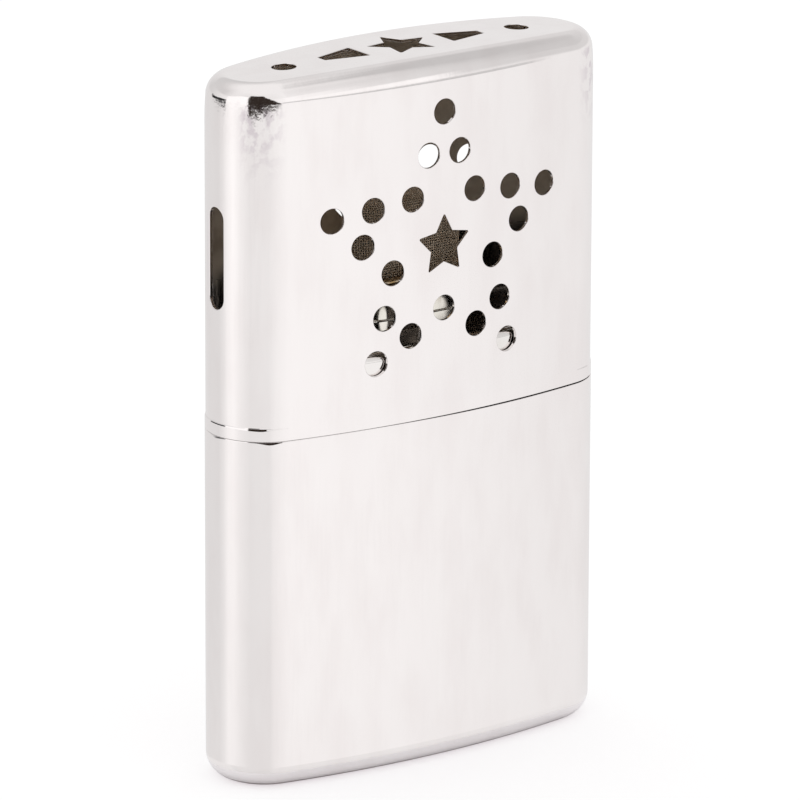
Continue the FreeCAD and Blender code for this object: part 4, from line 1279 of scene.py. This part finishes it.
def inner_finish():
    """Inside of the drawn sheet: bare darkened metal low down, bloomed brown above the burner.

    Bare metal mirrors the dark inside.  The bloom is partly a dull film of soot and heat, so it
    shows brown from every side.
    """
    material, tree, place = new_finish("heat_browned_nickel")
    clouds = add(tree, "ShaderNodeMapping", {"Vector": place, "Scale": grain(4.0, 4.0, 4.0)})
    cloud = add(tree, "ShaderNodeTexNoise", {"Vector": clouds, "Scale": 1.0, "Detail": 4.0})
    height = add(tree, "ShaderNodeSeparateXYZ", {0: place}).outputs[2]
    span = {0: height, 1: (skirt_high[2] - 1) * MM, 2: (skirt_high[2] + 3) * MM}
    bare = add(tree, "ShaderNodeMapRange", {**span, 3: 0.95, 4: 0.3}, **SMOOTH)
    bloom = add(tree, "ShaderNodeMapRange", {0: cloud, 1: 0.35, 2: 0.7}, **SMOOTH)
    film = add(tree, "ShaderNodeMix", {0: bloom, 6: linear("#d9cdbd"), 7: linear("#beb0a0")}, **COLOUR)
    low = add(tree, "ShaderNodeMapRange", {**span, 3: 1.0, 4: 0.0}, **SMOOTH)
    sheet = add(tree, "ShaderNodeMix", {0: low, 6: film.outputs[2], 7: linear("#7d7874")}, **COLOUR)
    dull = add(tree, "ShaderNodeMapRange", {**span, 3: 0.2, 4: 0.5}, **SMOOTH)
    uneven = add(tree, "ShaderNodeMapRange", {0: cloud, 1: 0.3, 2: 0.8, 3: 0.8, 4: 1.2}, **SMOOTH)
    dull = add(tree, "ShaderNodeMath", {0: dull, 1: uneven}, operation="MULTIPLY")
    shader = add(tree, "ShaderNodeBsdfPrincipled", {
        "Base Color": sheet.outputs[2], "Metallic": bare, "Roughness": dull,
    })
    add(tree, "ShaderNodeOutputMaterial", {0: shader})
    return material


def collar_finish():
    """Nickel plate on the burner's collar, tinted straw and brown where it runs hottest."""
    material, tree, place = new_finish("heat_tinted_nickel")
    height = add(tree, "ShaderNodeSeparateXYZ", {0: place}).outputs[2]
    span = {0: height, 1: skirt_low[2] * MM, 2: skirt_high[2] * MM}
    heat = add(tree, "ShaderNodeMapRange", span, **SMOOTH)
    clouds = add(tree, "ShaderNodeMapping", {"Vector": place, "Scale": grain(1.2, 1.2, 3.0)})
    cloud = add(tree, "ShaderNodeTexNoise", {"Vector": clouds, "Scale": 1.0, "Detail": 3.0})
    uneven = add(tree, "ShaderNodeMath", {0: heat, 1: cloud}, operation="MULTIPLY")
    share = add(tree, "ShaderNodeMapRange", {0: uneven, 1: 0.15, 2: 0.6}, **SMOOTH)
    tint = add(tree, "ShaderNodeMix", {0: share, 6: linear("#f0ebe2"), 7: linear("#b89a6c")}, **COLOUR)
    gloss = add(tree, "ShaderNodeMapRange", {0: cloud, 1: 0.3, 2: 0.8, 3: 0.12, 4: 0.24}, **SMOOTH)
    shader = add(tree, "ShaderNodeBsdfPrincipled", {
        "Base Color": tint.outputs[2], "Metallic": 1.0, "Roughness": gloss,
    })
    add(tree, "ShaderNodeOutputMaterial", {0: shader})
    return material


def steel_finish():
    """Stamped stainless steel: grey, satin from rolling, with faint stamping haze."""
    material, tree, place = new_finish("stamped_stainless_steel")
    rolled = add(tree, "ShaderNodeMapping", {"Vector": place, "Scale": grain(0.12, 0.12, 2.5)})
    lines = add(tree, "ShaderNodeTexNoise", {"Vector": rolled, "Scale": 1.0, "Detail": 2.0})
    grey = add(tree, "ShaderNodeMix", {0: lines, 6: linear("#bdb9b2"), 7: linear("#97928a")}, **COLOUR)
    gloss = add(tree, "ShaderNodeMapRange", {0: lines, 1: 0.3, 2: 0.7, 3: 0.24, 4: 0.38}, **SMOOTH)
    relief = add(tree, "ShaderNodeBump", {"Distance": 0.002 * MM, "Height": lines})
    shader = add(tree, "ShaderNodeBsdfPrincipled", {
        "Base Color": grey.outputs[2], "Metallic": 1.0, "Roughness": gloss, "Normal": relief,
    })
    add(tree, "ShaderNodeOutputMaterial", {0: shader})
    return material


def gauze_finish():
    """Woven steel wire under a dull brown oxide, which hides most of the metal's shine."""
    material, tree, place = new_finish("heat_browned_gauze")
    clouds = add(tree, "ShaderNodeMapping", {"Vector": place, "Scale": grain(1.8, 1.8, 1.8)})
    cloud = add(tree, "ShaderNodeTexNoise", {"Vector": clouds, "Scale": 1.0, "Detail": 3.0})
    share = add(tree, "ShaderNodeMapRange", {0: cloud, 1: 0.3, 2: 0.7}, **SMOOTH)
    oxide = add(tree, "ShaderNodeMix", {0: share, 6: linear("#ead8c3"), 7: linear("#cdbaa3")}, **COLOUR)
    dull = add(tree, "ShaderNodeMapRange", {0: cloud, 1: 0.3, 2: 0.8, 3: 0.35, 4: 0.5}, **SMOOTH)
    shader = add(tree, "ShaderNodeBsdfPrincipled", {
        "Base Color": oxide.outputs[2], "Metallic": 0.1, "Roughness": dull,
    })
    add(tree, "ShaderNodeOutputMaterial", {0: shader})
    return material


def fibre_finish(name, light, dark, strand, relief, sheen):
    """Matted fibres: a matt body whose strands catch light between darker gaps."""
    material, tree, place = new_finish(name)
    combed = add(tree, "ShaderNodeMapping", {
        "Vector": place, "Scale": grain(strand, strand, strand * 0.4),
    })
    strands = add(tree, "ShaderNodeTexNoise", {"Vector": combed, "Scale": 1.0, "Detail": 6.0})
    clumped = add(tree, "ShaderNodeMapping", {
        "Vector": place, "Location": (5.0, 5.0, 5.0), "Scale": grain(*(6 * strand,) * 3),
    })
    tufts = add(tree, "ShaderNodeTexNoise", {"Vector": clumped, "Scale": 1.0, "Detail": 3.0})
    both = add(tree, "ShaderNodeMath", {0: strands, 1: tufts}, operation="MULTIPLY")
    share = add(tree, "ShaderNodeMapRange", {0: both, 1: 0.12, 2: 0.38}, **SMOOTH)
    body = add(tree, "ShaderNodeMix", {0: share, 6: linear(dark), 7: linear(light)}, **COLOUR)
    dull = add(tree, "ShaderNodeMapRange", {0: strands, 1: 0.3, 2: 0.7, 3: 0.96, 4: 0.84}, **SMOOTH)
    fuzz = add(tree, "ShaderNodeBump", {"Distance": relief * MM, "Height": both})
    shader = add(tree, "ShaderNodeBsdfPrincipled", {
        "Base Color": body.outputs[2], "Roughness": dull, "Sheen Weight": sheen, "Normal": fuzz,
    })
    add(tree, "ShaderNodeOutputMaterial", {0: shader})
    return material


# ------------------------------------------------------------------ studio

# What the plate mirrors.  Compass angles run from the front (-Y) towards the left (-X), tones
# are light levels where 1 is white, and all angles are in degrees.
#
# The floor darkens towards the part, a painted shadow of the part in what mirrors see; above it
# each wall is (elevation at which it starts, how softly, and tones round the compass).
FLOOR_TONES = ((-80.0, 0.74), (-25.0, 0.865))
STUDIO_WALLS = (
    (-19.8, 2.6, ((-180, 0.76), (-55, 0.885), (-28, 0.965), (-14, 0.99), (6, 0.95), (26, 0.88),
                  (62, 0.86), (74, 0.91), (85, 0.97), (98, 1.07), (110, 0.985), (122, 0.84),
                  (134, 0.76))),
    (3.0, 3.0, ((-180, 0.67), (-144, 0.83), (-110, 0.72), (-50, 0.69), (-36, 0.74), (-26, 0.80),
                (-19, 0.965), (-13, 1.03), (-4, 0.97), (110, 0.95), (160, 0.70))),
    (22.0, 2.5, ((-180, 0.66), (-152, 0.64), (-146, 0.66), (-141, 0.75), (-75, 0.63), (-55, 0.645),
                 (-30, 0.775), (-12, 0.93), (10, 0.87), (80, 0.82), (96, 0.88), (109, 0.86),
                 (132, 0.69))),
    (49.0, 16.0, ((-180, 0.91),)),
)

# Panels and openings in front of the walls: compass angles of the two sides, elevation of the
# foot and of the head at two compass angles each, softness of the sides and of the other two
# edges, tone, and how much of what lies behind it hides.
Panel = namedtuple("Panel", "sides foot head soft tone cover")

GREY_CARPET = Panel(
    sides=(20, 105), foot=((20, -60), (105, -60)), head=((20, -16.3), (105, -16.3)),
    soft=(6, 0.8), tone=(0.4,) * 3, cover=0.1,
)
SKIRTING = Panel(
    sides=(-50, -2), foot=((-50, -4), (-2, -4)), head=((-50, 1), (-2, 1)),
    soft=(3, 0.8), tone=(0.62,) * 3, cover=1.0,
)
LEDGE = Panel(
    sides=(-36, -12), foot=((-36, 1.5), (-12, 1.5)), head=((-36, 8), (-12, 8)),
    soft=(3, 1.0), tone=(1.04,) * 3, cover=1.0,
)
HIGH_SHADE = Panel(
    sides=(-128, -50), foot=((-128, 43), (-50, 38)), head=((-128, 52.5), (-94, 65)),
    soft=(14, 7), tone=(0.59,) * 3, cover=1.0,
)
DOORWAY = Panel(
    sides=(-3, 66.5), foot=((-3, -5.3), (50, -9.2)), head=((-2, -5), (37, 43)),
    soft=(1.5, 1.2), tone=(0.032, 0.024, 0.02), cover=1.0,
)
WHITE_SCREEN = Panel(
    sides=(68, 113), foot=((68, -7), (113, -7)), head=((88, 36), (110, 24)),
    soft=(1.5, 1.5), tone=(1.09,) * 3, cover=1.0,
)
SIDE_WINDOW = Panel(
    sides=(115, 158), foot=((115, -8.6), (156, -8.6)), head=((122, 8), (146, 4)),
    soft=(1.5, 1.2), tone=(0.03,) * 3, cover=1.0,
)
PANELS = (GREY_CARPET, SKIRTING, LEDGE, HIGH_SHADE, DOORWAY, WHITE_SCREEN, SIDE_WINDOW)


def wall_tone(tree, azimuth, tones):
    """Tone round the compass, from (angle, tone) stops that close on themselves."""
    place = add(tree, "ShaderNodeMapRange", {0: azimuth, 1: -180.0, 2: 180.0})
    ramp = add(tree, "ShaderNodeValToRGB", {0: place})
    stops = ramp.color_ramp.elements
    closed = [*tones, (180, tones[0][1])]
    while len(stops) < len(closed):
        stops.new(1.0)
    for stop, (angle, tone) in zip(stops, closed):
        stop.position = (angle + 180) / FULL_TURN
        stop.color = (tone, tone, tone, 1.0)
    return ramp


def panel_cover(tree, azimuth, elevation, panel):
    """How much of a direction a panel covers: the product of its four soft edges."""
    side, edge = panel.soft
    left, right = panel.sides
    cover = add(tree, "ShaderNodeMapRange", {0: azimuth, 1: left - side, 2: left + side}, **SMOOTH)
    after = {0: azimuth, 1: right - side, 2: right + side, 3: panel.cover, 4: 0.0}
    cover = add(tree, "ShaderNodeMath", {
        0: cover, 1: add(tree, "ShaderNodeMapRange", after, **SMOOTH),
    }, operation="MULTIPLY")
    for ((first, low), (last, high)), sign in ((panel.foot, 1), (panel.head, -1)):
        line = add(tree, "ShaderNodeMapRange", {0: azimuth, 1: first, 2: last, 3: low, 4: high})
        over = add(tree, "ShaderNodeMath", {0: elevation, 1: line}, operation="SUBTRACT")
        within = add(tree, "ShaderNodeMapRange", {0: over, 1: -sign * edge, 2: sign * edge}, **SMOOTH)
        cover = add(tree, "ShaderNodeMath", {0: cover, 1: within}, operation="MULTIPLY")
    return cover


def make_world():
    """Even white light all round; mirrors see the studio's walls and panels instead."""
    world = bpy.data.worlds.new("studio")
    world.use_nodes = True
    tree = world.node_tree
    tree.nodes.clear()
    ray = add(tree, "ShaderNodeTexCoord").outputs["Generated"]
    x, y, z = add(tree, "ShaderNodeSeparateXYZ", {0: ray}).outputs
    left = add(tree, "ShaderNodeMath", {0: x, 1: -1.0}, operation="MULTIPLY")
    front = add(tree, "ShaderNodeMath", {0: y, 1: -1.0}, operation="MULTIPLY")
    turn = add(tree, "ShaderNodeMath", {0: left, 1: front}, operation="ARCTAN2")
    azimuth = add(tree, "ShaderNodeMath", {0: turn}, operation="DEGREES")
    rise = add(tree, "ShaderNodeMath", {0: z}, operation="ARCSINE")
    elevation = add(tree, "ShaderNodeMath", {0: rise}, operation="DEGREES")
    (low, low_tone), (high, high_tone) = FLOOR_TONES
    tone = add(tree, "ShaderNodeMapRange", {
        0: elevation, 1: low, 2: high, 3: low_tone, 4: high_tone,
    }).outputs[0]
    for start, soft, tones in STUDIO_WALLS:
        above = {0: elevation, 1: start - soft, 2: start + soft}
        share = add(tree, "ShaderNodeMapRange", above, **SMOOTH)
        wall = wall_tone(tree, azimuth, tones)
        tone = add(tree, "ShaderNodeMix", {0: share, 6: tone, 7: wall}, **COLOUR).outputs[2]
    for panel in PANELS:
        share = panel_cover(tree, azimuth, elevation, panel)
        tone = add(tree, "ShaderNodeMix", {0: share, 6: tone, 7: (*panel.tone, 1.0)}, **COLOUR).outputs[2]
    mirrored = add(tree, "ShaderNodeLightPath").outputs["Is Glossy Ray"]
    seen = add(tree, "ShaderNodeMix", {0: mirrored, 6: (1.0, 1.0, 1.0, 1.0), 7: tone}, **COLOUR)
    light = add(tree, "ShaderNodeBackground", {0: seen.outputs[2], 1: 1.0})
    add(tree, "ShaderNodeOutputWorld", {0: light})
    bpy.context.scene.world = world


FLOOR_REACH = 8000.0
NEAR_REACH = 2.0
NEAR_LIFT = 0.02
CONTACT_INSET = 1.8

# Light levels in red, green and blue: the open floor, how much of it a full shadow takes, the
# paper that every other surface gets its light from, the paper that the plate mirrors near the
# base, and a darker paper under the base, seen only in mirrors, that is a painted contact shadow.
OPEN_FLOOR = 1.04
SHADOW_DEPTH = (0.38, 0.43, 0.41)
FLOOR_PAPER = (0.85, 0.85, 0.85)
NEAR_PAPER = (0.965, 0.97, 0.99)
CONTACT_PAINTED_SHADOW = (0.66, 0.63, 0.64)


def stage_sheet(name, outline, height):
    """Level sheet of the stage from an outline, and the empty tree of its paper."""
    mesh = bpy.data.meshes.new(name)
    points = np.column_stack([outline, np.full(len(outline), height)]) * MM
    mesh.from_pydata(points.tolist(), [], [range(len(outline))])
    sheet = bpy.data.objects.new(name, mesh)
    bpy.context.scene.collection.objects.link(sheet)
    material = bpy.data.materials.new(name + "_paper")
    material.use_nodes = True
    material.node_tree.nodes.clear()
    mesh.materials.append(material)
    return sheet, material.node_tree


def make_floor():
    """Pale level floor: white in the open, with the object's soft, faintly rosy shadow.

    Part of its white glows, so that the shadow stays pale; the rest is lit.
    """
    square = np.array([(-1, -1), (1, -1), (1, 1), (-1, 1)]) * FLOOR_REACH
    floor, tree = stage_sheet("floor", square, 0.0)
    glow_colour = tuple(OPEN_FLOOR - depth for depth in SHADOW_DEPTH)
    shade = add(tree, "ShaderNodeBsdfDiffuse", {0: (*SHADOW_DEPTH, 1.0)})
    glow = add(tree, "ShaderNodeEmission", {0: (*glow_colour, 1.0), 1: 1.0})
    seen = add(tree, "ShaderNodeAddShader", {0: shade, 1: glow})
    paper = add(tree, "ShaderNodeBsdfDiffuse", {0: (*FLOOR_PAPER, 1.0)})
    path = add(tree, "ShaderNodeLightPath").outputs["Is Camera Ray"]
    both = add(tree, "ShaderNodeMixShader", {0: path, 1: paper, 2: seen})
    add(tree, "ShaderNodeOutputMaterial", {0: both})
    floor.visible_glossy = False


def make_near_floor(name, inset, height, colour):
    """Floor round or under the base as the plate mirrors it, shaded by the object itself; the darker
    sheet under the base is a painted contact shadow.
    """
    near, tree = stage_sheet(name, loop_at(case, inset), height)
    paper = add(tree, "ShaderNodeBsdfDiffuse", {0: (*colour, 1.0)})
    add(tree, "ShaderNodeOutputMaterial", {0: paper})
    near.visible_camera = False
    near.visible_diffuse = False
    near.visible_transmission = False
    near.visible_shadow = False


CAMERA_TURN = 35.956
CAMERA_RISE = 16.453
CAMERA_ROLL = 0.197
CAMERA_DISTANCE = 1110.77
CAMERA_AIM = (0.0, 0.0, 50.0)
LENS = 362.26
FRAME_SHIFT = -0.0028


def make_camera():
    """Camera on a sphere about its aim, turned left of the front and raised."""
    turn, rise, roll = (math.radians(angle) for angle in (-CAMERA_TURN, CAMERA_RISE, CAMERA_ROLL))
    back = np.array([
        math.sin(turn) * math.cos(rise), -math.cos(turn) * math.cos(rise), math.sin(rise),
    ])
    right = np.array([math.cos(turn), math.sin(turn), 0.0])
    up = np.cross(back, right)
    level = right * math.cos(roll) + up * math.sin(roll)
    upright = up * math.cos(roll) - right * math.sin(roll)
    place = (np.array(CAMERA_AIM) + back * CAMERA_DISTANCE) * MM
    data = bpy.data.cameras.new("camera")
    data.sensor_width = 36.0
    data.lens = LENS
    data.shift_y = FRAME_SHIFT
    data.clip_end = 50.0
    camera = bpy.data.objects.new("camera", data)
    bpy.context.scene.collection.objects.link(camera)
    axes = np.eye(4)
    axes[:3, 0], axes[:3, 1], axes[:3, 2], axes[:3, 3] = level, upright, back, place
    camera.matrix_world = Matrix(axes.tolist())
    bpy.context.scene.camera = camera


# ------------------------------------------------------------------ assembly

make_camera()
make_world()
make_floor()
make_near_floor("near_floor", -NEAR_REACH, NEAR_LIFT, NEAR_PAPER)
# The darker sheet under the base, seen only in mirrors, is a painted contact shadow.
make_near_floor("contact_painted_shadow", CONTACT_INSET, 2 * NEAR_LIFT, CONTACT_PAINTED_SHADOW)
bpy.context.scene.view_settings.view_transform = "Standard"

plate = (PLATE_COLOUR, PLATE_STAIN, PLATE_ROUGHNESS, PLATE_LINES)
cap_plate = nickel_finish("polished_nickel_plate", *plate, PEEL_HEIGHT)
tank_plate = nickel_finish("polished_nickel_tank_plate", *plate)
inner_plate = inner_finish()
neck_plate = nickel_finish("bright_nickel_plate", "#f7f3f1", "#ebe6e1", (0.06, 0.14), 0.003)
steel = steel_finish()

make_cap([cap_plate, inner_plate])
make_tank([tank_plate, inner_plate])
make_neck([neck_plate])
make_mouth([neck_plate])
make_skirt([collar_finish()])
make_gauze([gauze_finish()])
make_fillings(
    fibre_finish("matted_glass_fibre", "#c4bbac", "#8f8678", 0.12, 0.08, 0.0),
    fibre_finish("pressed_wool_felt", "#efe8d8", "#cfc6b2", 0.10, 0.06, 0.4),
    fibre_finish("loose_cotton_wadding", "#f7f4ec", "#dcd7ca", 0.25, 0.2, 0.5),
)
for name in ("burner_plate", "cage_ring"):
    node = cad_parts[name]
    node.data.materials.clear()
    node.data.materials.append(steel)
